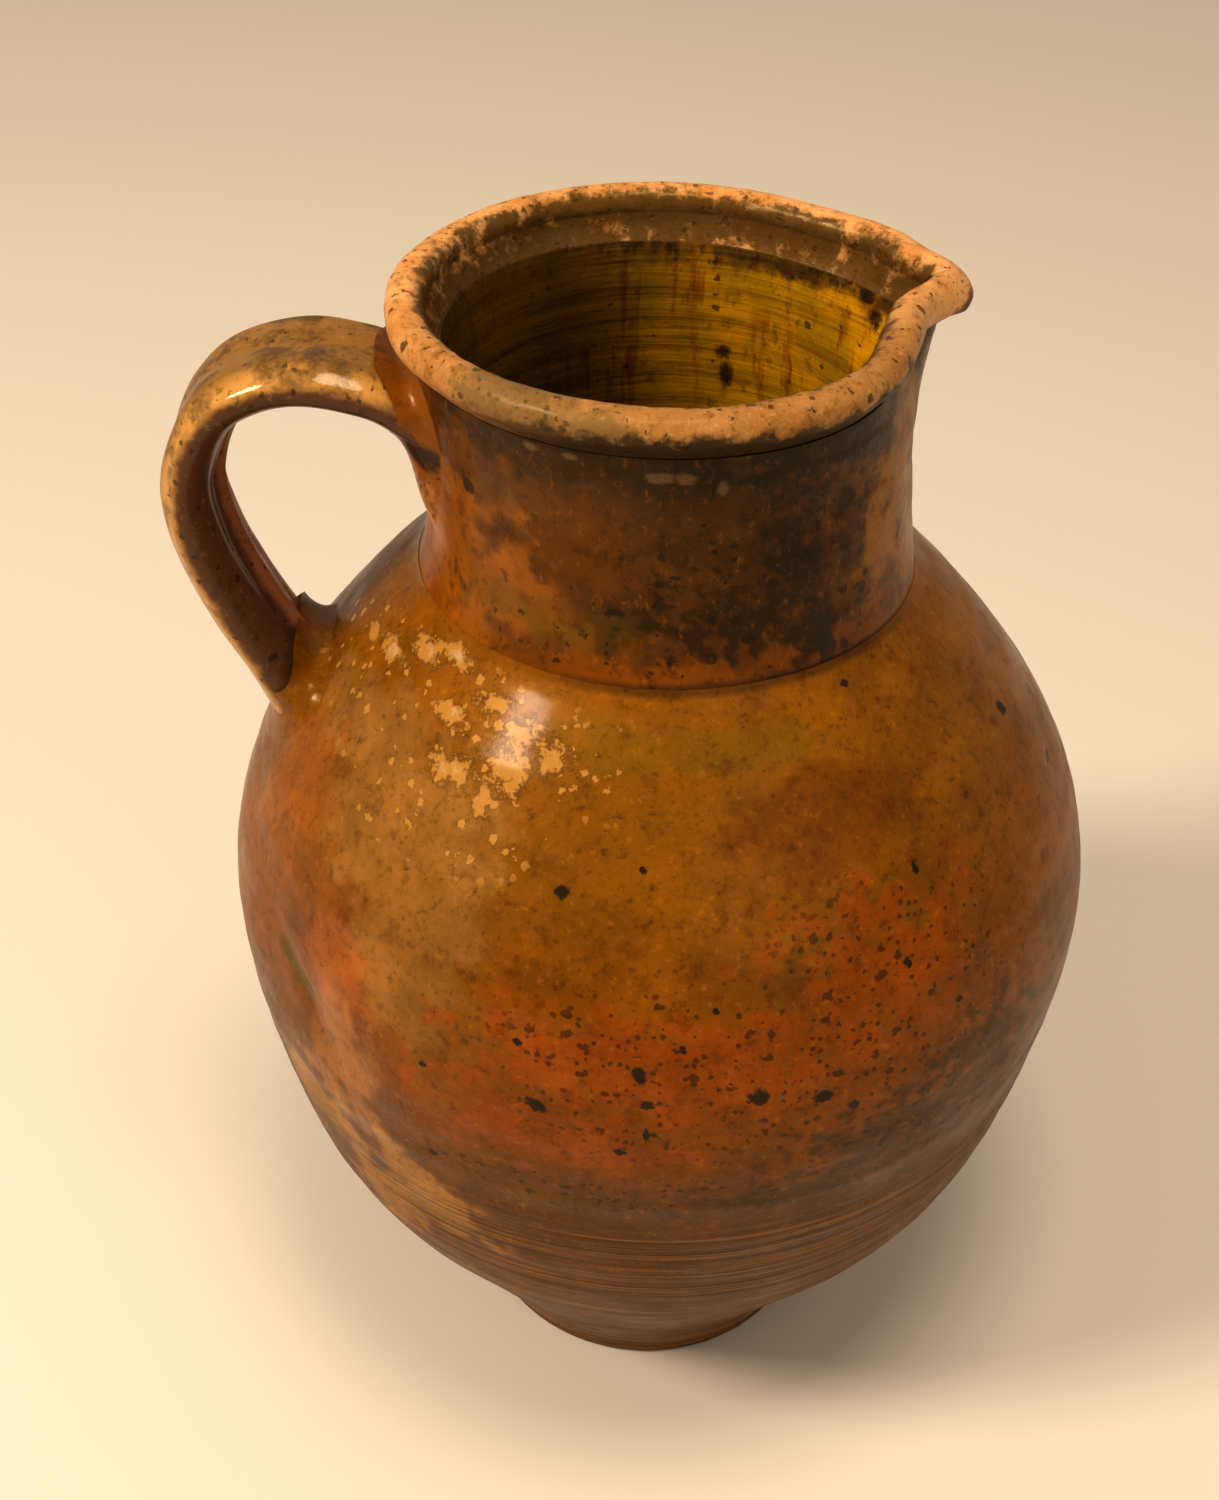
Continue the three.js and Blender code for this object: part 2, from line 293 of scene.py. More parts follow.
def makeNeck():
    outside = [(neckRadius(height), height) for height in spread(joinHeight, neckTop, neck["rings"])]
    inside = [(insideRadius(height), height)
              for height in spread(neckTop, joinHeight, neck["insideRings"])]
    piece = throwOnWheel("neckCollar", outside + inside + outside[:1], neck["around"])
    reshape(piece, lambda co: settle(neckSurface(co)
            if math.hypot(co.x, co.y) > neckRadius(co.z) - 2 * mm else co))
    finishMesh(piece)
    return piece


# The rolled rim: a round roll that stands proud of the neck, softly uneven, with a drip under the spout
rim = {"section": 36, "around": 400, "from": -0.3 * math.pi, "to": 1.1 * math.pi, "squash": 0.07,
       "uneven": 0.5 * mm, "grain": 0.22 * mm, "lip": 2.2 * mm, "lipWidth": 7, "drip": 3.2 * mm}


def makeRim():
    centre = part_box("rolled_rim")[1].y - roll
    seatIn = insideRadius(neckTop) - 0.2 * mm
    profile = [(seatIn, neckTop), (mixed(seatIn, neckRadius(neckTop), 0.5), neckTop - 0.5 * mm),
               (neckRadius(neckTop) - 0.3 * mm, neckTop)]
    for angle in spread(rim["from"], rim["to"], rim["section"]):
        squash = 1 - rim["squash"] * math.sin(angle) ** 2
        profile.append((centre + roll * math.cos(angle), rimHeight + roll * squash * math.sin(angle)))
    piece = throwOnWheel("rolledRim", profile + profile[:1], rim["around"])

    spoutTurn = math.radians(spout["direction"])
    faces = []

    def shaped(co):
        angle = math.degrees(math.atan2(co.y, co.x)) % 360
        out = math.hypot(co.x, co.y) - centre
        up = co.z - rimHeight
        faces.extend((clamp(0.5 - out / roll / 2), clamp(0.5 + up / roll / 2),
                      bump(turnFrom(angle, spout["direction"] - 2), 6), 1.0))
        where = Vector((math.cos(math.radians(angle)), math.sin(math.radians(angle)), 0))
        swell = rim["uneven"] * noise.noise(where * 2.3 + Vector((0, 0, up * 90)))
        swell += rim["grain"] * noise.noise(where * 14 + Vector((3, out * 400, up * 400)))
        turn = turnFrom(angle, spout["direction"])
        if up > -roll * 1.15:
            grow = 1 + swell / roll
            out, up = out * grow, up * grow
        radius = centre + out
        z = rimHeight + up
        moved = settle(Vector((radius * where.x, radius * where.y, z)))
        lip = bump(turn + 2, rim["lipWidth"])  # the lip curls over at the tip and ends in a fired drip
        outwards = ease(out, -1 * mm, roll)
        moved += Vector((math.cos(spoutTurn), math.sin(spoutTurn), 0)) * rim["lip"] * lip * outwards
        moved.z -= rim["drip"] * lip * outwards
        return moved

    reshape(piece, shaped)
    layer = piece.data.color_attributes.new("rimFaces", "FLOAT_COLOR", "POINT")
    layer.data.foreach_set("color", faces)  # inner flank, height up the roll, spout tip
    finishMesh(piece, 60)
    return piece


# The glaze coat inside: throwing rings show through it
lining = {"rings": 130, "around": 256, "thickness": 0.5 * mm, "gap": 0.3 * mm, "floorEdge": 4 * mm,
          "ringHeight": 0.55 * mm, "ringPitch": 8.5 * mm}


def makeLining():
    heights = spread(floorTop + lining["gap"] + lining["thickness"], neckTop, lining["rings"])
    outside = [(insideRadius(height) - lining["gap"], height) for height in heights]
    inside = [(radius - lining["thickness"], height) for radius, height in reversed(outside)]
    low = floorTop + lining["gap"]
    corner = outside[0][0] - lining["floorEdge"]
    profile = [(0, low), (corner * 0.5, low), (corner, low)] + outside + inside
    profile += [(corner, low + lining["thickness"]), (corner * 0.5, low + lining["thickness"]),
                (0, low + lining["thickness"])]
    piece = throwOnWheel("innerGlazeCoat", profile, lining["around"])

    def ringed(co):
        radius = math.hypot(co.x, co.y)
        if radius < insideRadius(co.z) - lining["gap"] - 0.2 * mm and co.z > floorTop + 3 * mm:
            spiral = co.z / lining["ringPitch"] * 2 * math.pi + math.atan2(co.y, co.x)
            wave = math.sin(spiral + 1.5 * noise.noise(Vector((0, 0, co.z / (14 * mm)))))
            fading = 1 - ease(co.z, neckTop - 4 * mm, neckTop)
            co = outward(co, -lining["ringHeight"] * 0.5 * (1 + wave) * fading)
        return settle(co)

    reshape(piece, ringed)
    finishMesh(piece, 50)
    return piece


# The pulled strap: its centre line in the upright plane of the handle, as in the frame
strap = {"direction": 181, "shift": 5 * mm, "width": 37 * mm, "thickness": 13.6 * mm, "reach": 60 * mm,
         "top": 24 * mm, "crown": 15.5 * mm, "foot": 232 * mm, "sink": 5 * mm, "along": 260,
         "around": 96, "fineSteps": 1200,
         "channel": 1.1 * mm, "rib": 0.55 * mm, "ridge": 1.3 * mm, "hollowNear": 0.9 * mm,
         "hollowFar": 0.7 * mm,
         "flare": 3.0 * mm, "rough": 0.35 * mm, "wander": 0.6 * mm, "press": 3.5 * mm}


def inHandlePlane(distance, height):
    angle = math.radians(strap["direction"])
    return Vector((distance * math.cos(angle) - strap["shift"] * math.sin(angle),
                   distance * math.sin(angle) + strap["shift"] * math.cos(angle), height))


def strapLine():
    throat = min(radius for height, radius in frontOutline("neck_collar", max))
    top = rimHeight - strap["top"]
    crown = rimHeight - strap["crown"]
    root = bellyRadius(strap["foot"])
    far = throat + strap["reach"]

    def limb(out, down):
        return inHandlePlane(mixed(root, far, out), mixed(crown, strap["foot"], down))
    knots = [inHandlePlane(throat - strap["sink"], top - 3 * mm),
             inHandlePlane(throat + strap["reach"] * 0.24, mixed(top, crown, 0.78)),
             inHandlePlane(throat + strap["reach"] * 0.56, crown),
             inHandlePlane(throat + strap["reach"] * 0.85, mixed(crown, strap["foot"], 0.09)),
             limb(1, 0.31), limb(0.9, 0.51), limb(0.57, 0.71), limb(0.21, 0.87),
             inHandlePlane(root - strap["sink"], strap["foot"] - strap["sink"])]
    return knots


def alongKnots(knots, t):  # Catmull-Rom with knot spacing by the root of the distance between knots
    ends = [knots[0] * 2 - knots[1]] + knots + [knots[-1] * 2 - knots[-2]]
    i = int(clamp(t * (len(knots) - 1), 0, len(knots) - 2 + 0.999999))
    local = t * (len(knots) - 1) - i
    a, b, c, d = ends[i:i + 4]
    k = [0]
    for one, two in ((a, b), (b, c), (c, d)):
        k.append(k[-1] + math.sqrt((two - one).length))
    s = mixed(k[1], k[2], local)

    def between(p, q, lo, hi):
        return p * ((hi - s) / (hi - lo)) + q * ((s - lo) / (hi - lo))
    ab, bc, cd = between(a, b, k[0], k[1]), between(b, c, k[1], k[2]), between(c, d, k[2], k[3])
    abc, bcd = between(ab, bc, k[0], k[2]), between(bc, cd, k[1], k[3])
    return between(abc, bcd, k[1], k[2])


def evenStations(count):
    knots = strapLine()
    fine = [alongKnots(knots, i / strap["fineSteps"]) for i in range(strap["fineSteps"] + 1)]
    shares = np.linspace(0, 1, len(fine))
    travelled = np.concatenate([[0], np.cumsum([(q - p).length for p, q in zip(fine, fine[1:])])])
    stations = []
    for goal in np.linspace(0, travelled[-1], count + 1):
        stations.append(alongKnots(knots, float(np.interp(goal, travelled, shares))))
    return stations


def flattened(value):
    return math.copysign(abs(value) ** 0.9, value)


# width runs across the handle's plane, thickness in it; the outer face is where sin(angle) > 0
def strapRing(stations, i):
    point = stations[i]
    ahead = stations[min(i + 1, len(stations) - 1)] - stations[max(i - 1, 0)]
    ahead.normalize()
    turn = math.radians(strap["direction"])
    across = Vector((-math.sin(turn), math.cos(turn), 0))
    outer = ahead.cross(across).normalized()
    s = i / (len(stations) - 1)
    nearTop = bump(s, 0.055)
    nearFoot = bump(1 - s, 0.09)
    grow = strap["flare"] * (0.6 * nearTop + nearFoot)
    taper = 1 - 0.05 * ease(s, 0.3, 0.85)
    ring = []
    for j in range(strap["around"]):
        angle = 2 * math.pi * j / strap["around"]
        c, n = flattened(math.cos(angle)), flattened(math.sin(angle))
        wide = (strap["width"] / 2 * taper + grow) * c
        thick = (strap["thickness"] / 2 + grow * 0.35) * n
        body = 1 - nearTop
        if n > 0:  # two soft ribs with a shallow channel between, left by the fingers
            thick -= (strap["channel"] * body * bump(c - 0.05, 0.32)
                      - strap["rib"] * bump(abs(c) - 0.66, 0.14))
        else:  # a thin ridge along the inner face, with a hollow on either side
            thick -= body * (strap["ridge"] * bump(c + 0.1, 0.08)
                             - strap["hollowFar"] * bump(c + 0.45, 0.14)
                             - strap["hollowNear"] * bump(c - 0.25, 0.18))
        place = point + across * wide + outer * thick
        rough = (strap["rough"] * noise.noise(place / (11 * mm))
                 + strap["wander"] * noise.noise(place / (30 * mm)))
        place += (across * c + outer * n).normalized() * rough
        ring.append(place)
    return ring


def pressOntoWall(place, depth):  # keeps the angle and height, and sinks the end below the wall's face
    radiusOf = neckRadius if place.z > joinHeight else bellyRadius
    lean = spout["lean"] * ease(place.z, joinHeight, rimHeight)
    flat = Vector((place.x - lean, place.y, 0))
    flat.normalize()
    radius = radiusOf(place.z) - depth
    return Vector((flat.x * radius + lean, flat.y * radius, place.z))


def makeStrap():
    stations = evenStations(strap["along"])
    deselectAll()
    bpy.ops.mesh.primitive_circle_add(vertices=strap["around"], radius=strap["width"] / 2,
                                      fill_type="NGON",
                                      location=(0, 0, 0))
    piece = bpy.context.object
    piece.name = "strapHandle"
    piece.data.name = "strapHandle"
    bpy.ops.object.mode_set(mode="EDIT")
    bpy.ops.mesh.select_all(action="SELECT")
    for i in range(strap["along"]):
        bpy.ops.mesh.extrude_region_move(TRANSFORM_OT_translate={"value": (0, 0, mm)})
    bpy.ops.mesh.select_all(action="SELECT")
    bpy.ops.mesh.normals_make_consistent(inside=False)
    bpy.ops.object.mode_set(mode="OBJECT")
    rings = [strapRing(stations, i) for i in range(len(stations))]
    rings[0] = [pressOntoWall(place, strap["press"]) for place in rings[0]]
    rings[-1] = [pressOntoWall(place, strap["press"]) for place in rings[-1]]
    tags = {}
    for vertex in piece.data.vertices:
        i = int(round(vertex.co.z / mm))
        turns = math.atan2(vertex.co.y, vertex.co.x) / (2 * math.pi)
        j = int(round(turns * strap["around"])) % strap["around"]
        tags[vertex.index] = (i, j)
    uv = piece.data.uv_layers.new(name="strapFaces")
    for polygon in piece.data.polygons:
        columns = [tags[piece.data.loops[k].vertex_index][1] for k in polygon.loop_indices]
        wraps = len(columns) == 4 and max(columns) - min(columns) > strap["around"] / 2
        for k in polygon.loop_indices:
            i, j = tags[piece.data.loops[k].vertex_index]
            if wraps and j == 0:
                j = strap["around"]
            uv.data[k].uv = (j / strap["around"], i / strap["along"])
    for vertex in piece.data.vertices:
        i, j = tags[vertex.index]
        vertex.co = rings[i][j]
    piece.data.update()
    deselectAll()
    piece.select_set(True)
    bpy.context.view_layer.objects.active = piece
    bpy.ops.object.mode_set(mode="EDIT")
    bpy.ops.mesh.select_all(action="SELECT")
    bpy.ops.mesh.normals_make_consistent(inside=False)
    bpy.ops.object.mode_set(mode="OBJECT")
    finishMesh(piece, 60)
    return piece


# Clay wiped round the strap's two roots: a hollow fillet from the strap's face down onto the wall
lute = {"border": 6.5 * mm, "climb": 10 * mm, "tail": 12 * mm, "smear": 17 * mm, "around": 160,
        "section": 28,
        "bury": 2.6 * mm, "ringRadius": 20 * mm, "tubeRadius": 4 * mm, "lump": 1.5 * mm}


def makeLute(name, lower):
    stations = evenStations(strap["along"])
    # the station where the strap's centre line crosses the wall
    order = range(len(stations) - 1, 0, -1) if lower else range(len(stations))
    for i in order:
        place = stations[i]
        wallRadius = bellyRadius(place.z) if lower else neckRadius(place.z)
        if math.hypot(place.x, place.y) > wallRadius:
            break
    root = stations[i]
    away = (stations[i - 6] - stations[i]) if lower else (stations[i + 6] - stations[i])
    away.normalize()
    turn = math.radians(strap["direction"])
    across = Vector((-math.sin(turn), math.cos(turn), 0))
    outward2d = Vector((math.cos(turn), math.sin(turn), 0))
    normal = away.cross(across).normalized()
    if normal.z < 0:
        normal = -normal
    slope = (bellyRadius(root.z + 5 * mm) - bellyRadius(root.z - 5 * mm)) / (10 * mm) if lower else 0
    upWall = (Vector((0, 0, 1)) + outward2d * slope).normalized()
    facing = upWall.dot(normal)
    stretch = 1 / max(abs(facing), 0.45)  # the strap meets the slope at a slant: a longer footprint
    deselectAll()
    bpy.ops.mesh.primitive_torus_add(major_segments=lute["around"], minor_segments=lute["section"],
                                     major_radius=lute["ringRadius"], minor_radius=lute["tubeRadius"],
                                     location=(0, 0, 0))
    piece = bpy.context.object
    piece.name = name
    piece.data.name = name
    halfWide = strap["width"] / 2 + strap["flare"] * (1 if lower else 0.6)
    halfThick = strap["thickness"] / 2 + strap["flare"] * 0.35
    fillet = int(lute["section"] * 0.7)

    def skirt(u, v):
        c, s = flattened(math.cos(u)), flattened(math.sin(u))
        if v <= fillet:
            phi = v / fillet * math.pi / 2
            out, climb = 1 - math.sin(phi), 1 - math.cos(phi)
            sunk = 0.0
        else:
            t = (v - fillet) / (lute["section"] - fillet)
            corners = [(0, 1), (-0.45, 0.8), (-0.45, -0.05), (1, -0.05)]
            k = min(int(t * 3), 2)
            local = t * 3 - k
            out = mixed(corners[k][0], corners[k + 1][0], local)
            climb = max(mixed(corners[k][1], corners[k + 1][1], local), 0)
            sunk = lute["bury"] * ease(t, 0.25, 0.6) if climb < 0.75 else 0.0
        degrees = math.degrees(u)
        border = lute["border"] * (1 + 0.25 * noise.noise(Vector((c * 2, s * 2, 3 if lower else 8))))
        if lower:
            tail = lute["tail"] * bump(turnFrom(degrees, 270), 45)
        else:
            tail = lute["smear"] * bump(turnFrom(degrees, 232),
                                        30) + 3 * mm * bump(turnFrom(degrees, 300), 40)
        spreadOut = out * border if out > 0 else out * 6 * mm
        wide = c * (halfWide + spreadOut)
        high = s * (halfThick * stretch + spreadOut) - max(out, 0) * tail
        place = root + across * (-wide) + upWall * high
        wall = pressOntoWall(place, sunk + (0.9 * ease(out, 0.5, 1) - 0.25) * mm)
        if not lower and sunk == 0:
            lump = bump(turnFrom(degrees, 232), 26) * math.sin(math.pi * clamp(out)) ** 1.3
            wall += outward2d * lute["lump"] * lump
        wall += away * climb * lute["climb"] * (1 + 0.2 * noise.noise(Vector((c * 1.5, s * 1.5, 5))))
        return wall

    for vertex in piece.data.vertices:
        x, y, z = vertex.co
        u = math.atan2(y, x)
        v = math.atan2(z, math.hypot(x, y) - lute["ringRadius"]) % (2 * math.pi)
        steps = int(round(v / (2 * math.pi) * lute["section"])) % lute["section"]
        vertex.co = skirt(u, steps)
    piece.data.update()
    bpy.ops.object.mode_set(mode="EDIT")
    bpy.ops.mesh.select_all(action="SELECT")
    bpy.ops.mesh.normals_make_consistent(inside=False)
    bpy.ops.object.mode_set(mode="OBJECT")
    finishMesh(piece, 75)
    return piece


turnedFoot = makeFoot()
lowerBelly = makeBelly("turnedBelly", floorTop, bandTop, belly["lowerRings"])
upperBelly = makeBelly("shoulderBelly", bandTop, joinHeight, belly["upperRings"])
print("foot and belly thrown")
neckCollar = makeNeck()
rolledRim = makeRim()
innerCoat = makeLining()
print("neck, rim and inner glaze coat thrown")
strapHandle = makeStrap()
upperLute = makeLute("neckLute", False)
lowerLute = makeLute("shoulderLute", True)
print("handle pulled and luted on")


# Finishes. Every pattern reads the object coordinates, in metres, so it runs on from piece to piece
def srgb(red, green, blue):
    def channel(value):
        value /= 255
        return value / 12.92 if value <= 0.04045 else ((value + 0.055) / 1.055) ** 2.4
    return (channel(red), channel(green), channel(blue), 1)


def newFinish(name):
    material = bpy.data.materials.new(name)
    material.use_nodes = True
    tree = material.node_tree
    place = tree.nodes.new("ShaderNodeTexCoord").outputs["Object"]
    split = tree.nodes.new("ShaderNodeSeparateXYZ")
    tree.links.new(place, split.inputs[0])
    return {"material": material, "tree": tree, "place": place, "height": split.outputs["Z"],
            "shader": tree.nodes["Principled BSDF"]}


def plug(kit, source, target):
    if isinstance(source, (int, float, tuple)):
        target.default_value = source
    else:
        kit["tree"].links.new(source, target)


def reckon(kit, operation, a, b=0.0):
    node = kit["tree"].nodes.new("ShaderNodeMath")
    node.operation = operation
    plug(kit, a, node.inputs[0])
    plug(kit, b, node.inputs[1])
    return node.outputs[0]


def fade(kit, value, low, high, atLow=0.0, atHigh=1.0):
    node = kit["tree"].nodes.new("ShaderNodeMapRange")
    node.interpolation_type = "SMOOTHSTEP"
    plug(kit, value, node.inputs["Value"])
    for socket, number in zip(("From Min", "From Max", "To Min", "To Max"), (low, high, atLow, atHigh)):
        node.inputs[socket].default_value = number
    return node.outputs["Result"]


def stretched(kit, scale, shift=(0, 0, 0)):
    node = kit["tree"].nodes.new("ShaderNodeMapping")
    plug(kit, kit["place"], node.inputs["Vector"])
    node.inputs["Scale"].default_value = scale
    node.inputs["Location"].default_value = shift
    return node.outputs[0]


def cloud(kit, size, detail=4, roughness=0.55, squash=(1, 1, 1), shift=(0, 0, 0)):
    vector = stretched(kit, tuple(k / size for k in squash), shift)
    node = kit["tree"].nodes.new("ShaderNodeTexNoise")
    plug(kit, vector, node.inputs["Vector"])
    node.inputs["Scale"].default_value = 1
    node.inputs["Detail"].default_value = detail
    node.inputs["Roughness"].default_value = roughness
    return node.outputs["Fac"]


def flecks(kit, spacing, size, share, shift=(0, 0, 0), squash=(1, 1, 1)):
    cells = stretched(kit, tuple(k / spacing for k in squash), shift)
    warp = kit["tree"].nodes.new("ShaderNodeTexNoise")
    plug(kit, kit["place"], warp.inputs["Vector"])
    warp.inputs["Scale"].default_value = 2.2 / spacing
    warp.inputs["Detail"].default_value = 3
    push = kit["tree"].nodes.new("ShaderNodeVectorMath")
    push.operation = "SCALE"
    plug(kit, warp.outputs["Color"], push.inputs[0])
    push.inputs["Scale"].default_value = 0.85
    total = kit["tree"].nodes.new("ShaderNodeVectorMath")
    plug(kit, cells, total.inputs[0])
    plug(kit, push.outputs[0], total.inputs[1])
    node = kit["tree"].nodes.new("ShaderNodeTexVoronoi")
    plug(kit, total.outputs[0], node.inputs["Vector"])
    node.inputs["Scale"].default_value = 1
    luck = kit["tree"].nodes.new("ShaderNodeSeparateColor")
    plug(kit, node.outputs["Color"], luck.inputs[0])
    reach = fade(kit, luck.outputs[0], 1 - share, 1.0, 0.0, size / spacing)
    return fade(kit, reckon(kit, "SUBTRACT", reach, node.outputs["Distance"]), -0.02, 0.07)


# A mark is (angle round the pot, height, half its width, half its height, tilt), in degrees and mm
def markDistance(kit, spot, radiusOf):
    angle, height, wide, tall = spot[:4]
    tilt = spot[4] if len(spot) > 4 else 0
    onNeck = height * mm > joinHeight
    radiusOf = radiusOf or (neckRadius if onNeck else bellyRadius)
    radius = radiusOf(height * mm)
    slope = 0 if onNeck else math.atan2(radiusOf((height - 4) * mm) - radiusOf((height + 4) * mm), 8 * mm)
    turn = math.radians(angle)
    facing = (Matrix.Rotation(turn, 3, "Z") @ Matrix.Rotation(-slope, 3, "Y")
              @ Matrix.Rotation(math.radians(tilt), 3, "X"))
    node = kit["tree"].nodes.new("ShaderNodeMapping")
    node.vector_type = "TEXTURE"
    plug(kit, kit["place"], node.inputs["Vector"])
    node.inputs["Location"].default_value = (radius * math.cos(turn), radius * math.sin(turn),
                                             height * mm)
    node.inputs["Rotation"].default_value = facing.to_euler("XYZ")
    node.inputs["Scale"].default_value = (max(wide, tall) * mm, wide * mm, tall * mm)
    length = kit["tree"].nodes.new("ShaderNodeVectorMath")
    length.operation = "LENGTH"
    plug(kit, node.outputs[0], length.inputs[0])
    return length.outputs["Value"]


def marks(kit, spots, rag=0.3, grain=None, soft=0.35, radiusOf=None):
    distance = None
    for spot in spots:
        one = markDistance(kit, spot, radiusOf)
        distance = one if distance is None else reckon(kit, "MINIMUM", distance, one)
    ragged = cloud(kit, (grain or min(spots[0][2:4]) * 0.6) * mm, 5, 0.65)
    ragged = reckon(kit, "MULTIPLY", reckon(kit, "SUBTRACT", ragged, 0.5), rag * 4)
    return fade(kit, reckon(kit, "ADD", distance, ragged), 1 + soft, 1 - soft, 0.0, 1.0)


def belt(kit, low, high, soft, waver=4, grain=30):  # between two heights, mm, with a wavy edge
    wave = rags(kit, waver * 4 * mm, grain * mm, 5, 0.6)
    height = reckon(kit, "ADD", kit["height"], wave)
    rise = fade(kit, height, (low - soft) * mm, (low + soft) * mm)
    fall = fade(kit, height, (high - soft) * mm, (high + soft) * mm, 1.0, 0.0)
    return reckon(kit, "MULTIPLY", rise, fall)


def side(kit, angle, nearly, fully):  # how far a place lies towards an angle, between two cosines
    node = kit["tree"].nodes.new("ShaderNodeVectorMath")
    node.operation = "MULTIPLY"
    plug(kit, kit["place"], node.inputs[0])
    node.inputs[1].default_value = (1, 1, 0)
    unit = kit["tree"].nodes.new("ShaderNodeVectorMath")
    unit.operation = "NORMALIZE"
    plug(kit, node.outputs[0], unit.inputs[0])
    dot = kit["tree"].nodes.new("ShaderNodeVectorMath")
    dot.operation = "DOT_PRODUCT"
    plug(kit, unit.outputs[0], dot.inputs[0])
    dot.inputs[1].default_value = (math.cos(math.radians(angle)), math.sin(math.radians(angle)), 0)
    return fade(kit, dot.outputs["Value"], nearly, fully)


def both(kit, *masks):
    total = masks[0]
    for mask in masks[1:]:
        total = reckon(kit, "MULTIPLY", total, mask)
    return total


def tinted(kit, base, colour, mask):
    node = kit["tree"].nodes.new("ShaderNodeMix")
    node.data_type = "RGBA"
    plug(kit, mask, node.inputs["Factor"])
    plug(kit, base, node.inputs[6])
    plug(kit, colour, node.inputs[7])
    return node.outputs[2]


def washed(kit, base, colour, mask, strength):
    return tinted(kit, base, colour, reckon(kit, "MULTIPLY", mask, strength))


def rags(kit, amount, *pattern):  # noise either side of nought, to tear the edge of a mask
    return reckon(kit, "MULTIPLY", reckon(kit, "SUBTRACT", cloud(kit, *pattern), 0.5), amount)


def patchyGloss(kit, size, smooth, dull):
    return fade(kit, cloud(kit, size, 5, 0.6, (1, 1, 1), (2, 3, 8)), 0.3, 0.7, smooth, dull)


def relief(kit, reliefs):  # a chain of bumps: (height pattern, depth in mm, strength)
    normal = None
    for pattern, depth, strength in reliefs:
        node = kit["tree"].nodes.new("ShaderNodeBump")
        node.inputs["Distance"].default_value = depth * mm
        node.inputs["Strength"].default_value = strength
        plug(kit, pattern, node.inputs["Height"])
        if normal:
            kit["tree"].links.new(normal, node.inputs["Normal"])
        normal = node.outputs["Normal"]
    kit["tree"].links.new(normal, kit["shader"].inputs["Normal"])


def glazeShader(kit, colour, roughness, coat, coatRoughness, specular=0.5):
    plug(kit, colour, kit["shader"].inputs["Base Color"])
    plug(kit, roughness, kit["shader"].inputs["Roughness"])
    kit["shader"].inputs["Specular IOR Level"].default_value = specular
    kit["shader"].inputs["Specular Tint"].default_value = (1, 0.72, 0.2, 1)
    kit["shader"].inputs["Coat Weight"].default_value = coat
    kit["shader"].inputs["Coat Roughness"].default_value = coatRoughness


# What the fire laid on the walls, with painted light and shade in some of the washes, kept on each piece as
# two colour attributes: glazeToneAndLight, the colour, painted light and shade included, and glazeMarks, how
# near a place is to an ash splash (red) or an iron spot (green), and how crowded with specks it is (blue)
def along(height):  # the way up the wall from the foot, in mm
    return float(np.interp(height, climbHeights, climbLengths))


climbHeights = np.linspace(floorLevel, joinHeight, 200)
climbRadii = np.array([bellyRadius(height) for height in climbHeights])
climbLengths = np.concatenate([[0], np.cumsum(np.hypot(np.diff(climbHeights), np.diff(climbRadii)))]) / mm
climbHeights = np.append(climbHeights, 1.0)
climbLengths = np.append(climbLengths, climbLengths[-1] + (1.0 - joinHeight) / mm)

# angle, height, half width, half height, tilt, in degrees and mm
ironSpots = [(257, 235, 2.6, 2.0), (254, 201, 1.7, 1.4), (242, 186, 1.9, 1.5), (243, 155, 1.8, 1.6),
             (257, 185, 3.6, 2.0, -25), (269, 197, 2.2, 3.4, 15), (270, 189, 2.4, 1.7),
             (267, 174, 2.1, 1.6),
             (270, 180, 0.9, 3.0), (283, 190, 3.2, 2.8), (291, 187, 3.2, 2.2), (295, 182, 2.2, 1.6),
             (274, 204, 1.9, 1.3), (309, 232, 1.4, 2.3), (349, 224, 2.9, 1.7, 20), (344, 243, 2.3, 2.8),
             (268, 241, 1.3, 1.1), (304, 214, 1.5, 1.9), (311, 199, 1.9, 1.3), (28, 205, 2.6, 2.0),
             (62, 187, 3.0, 2.2, 30), (95, 228, 2.2, 1.8), (118, 176, 2.8, 3.4), (146, 214, 2.0, 1.6),
             (163, 163, 2.6, 2.0), (184, 196, 1.8, 2.4), (310, 268, 1.6, 1.4), (278, 213, 1.5, 1.2)]
ashSplash = [(244, 261, 8, 5), (244, 254, 9, 7), (241, 247, 3.4, 7), (236, 264, 7, 4), (251, 258, 6, 5),
             (222, 268, 9, 4), (214, 265, 8, 4), (206, 260, 9, 4), (197, 258, 5, 2.5), (228, 259, 8, 4),
             (234, 250, 9, 5)]

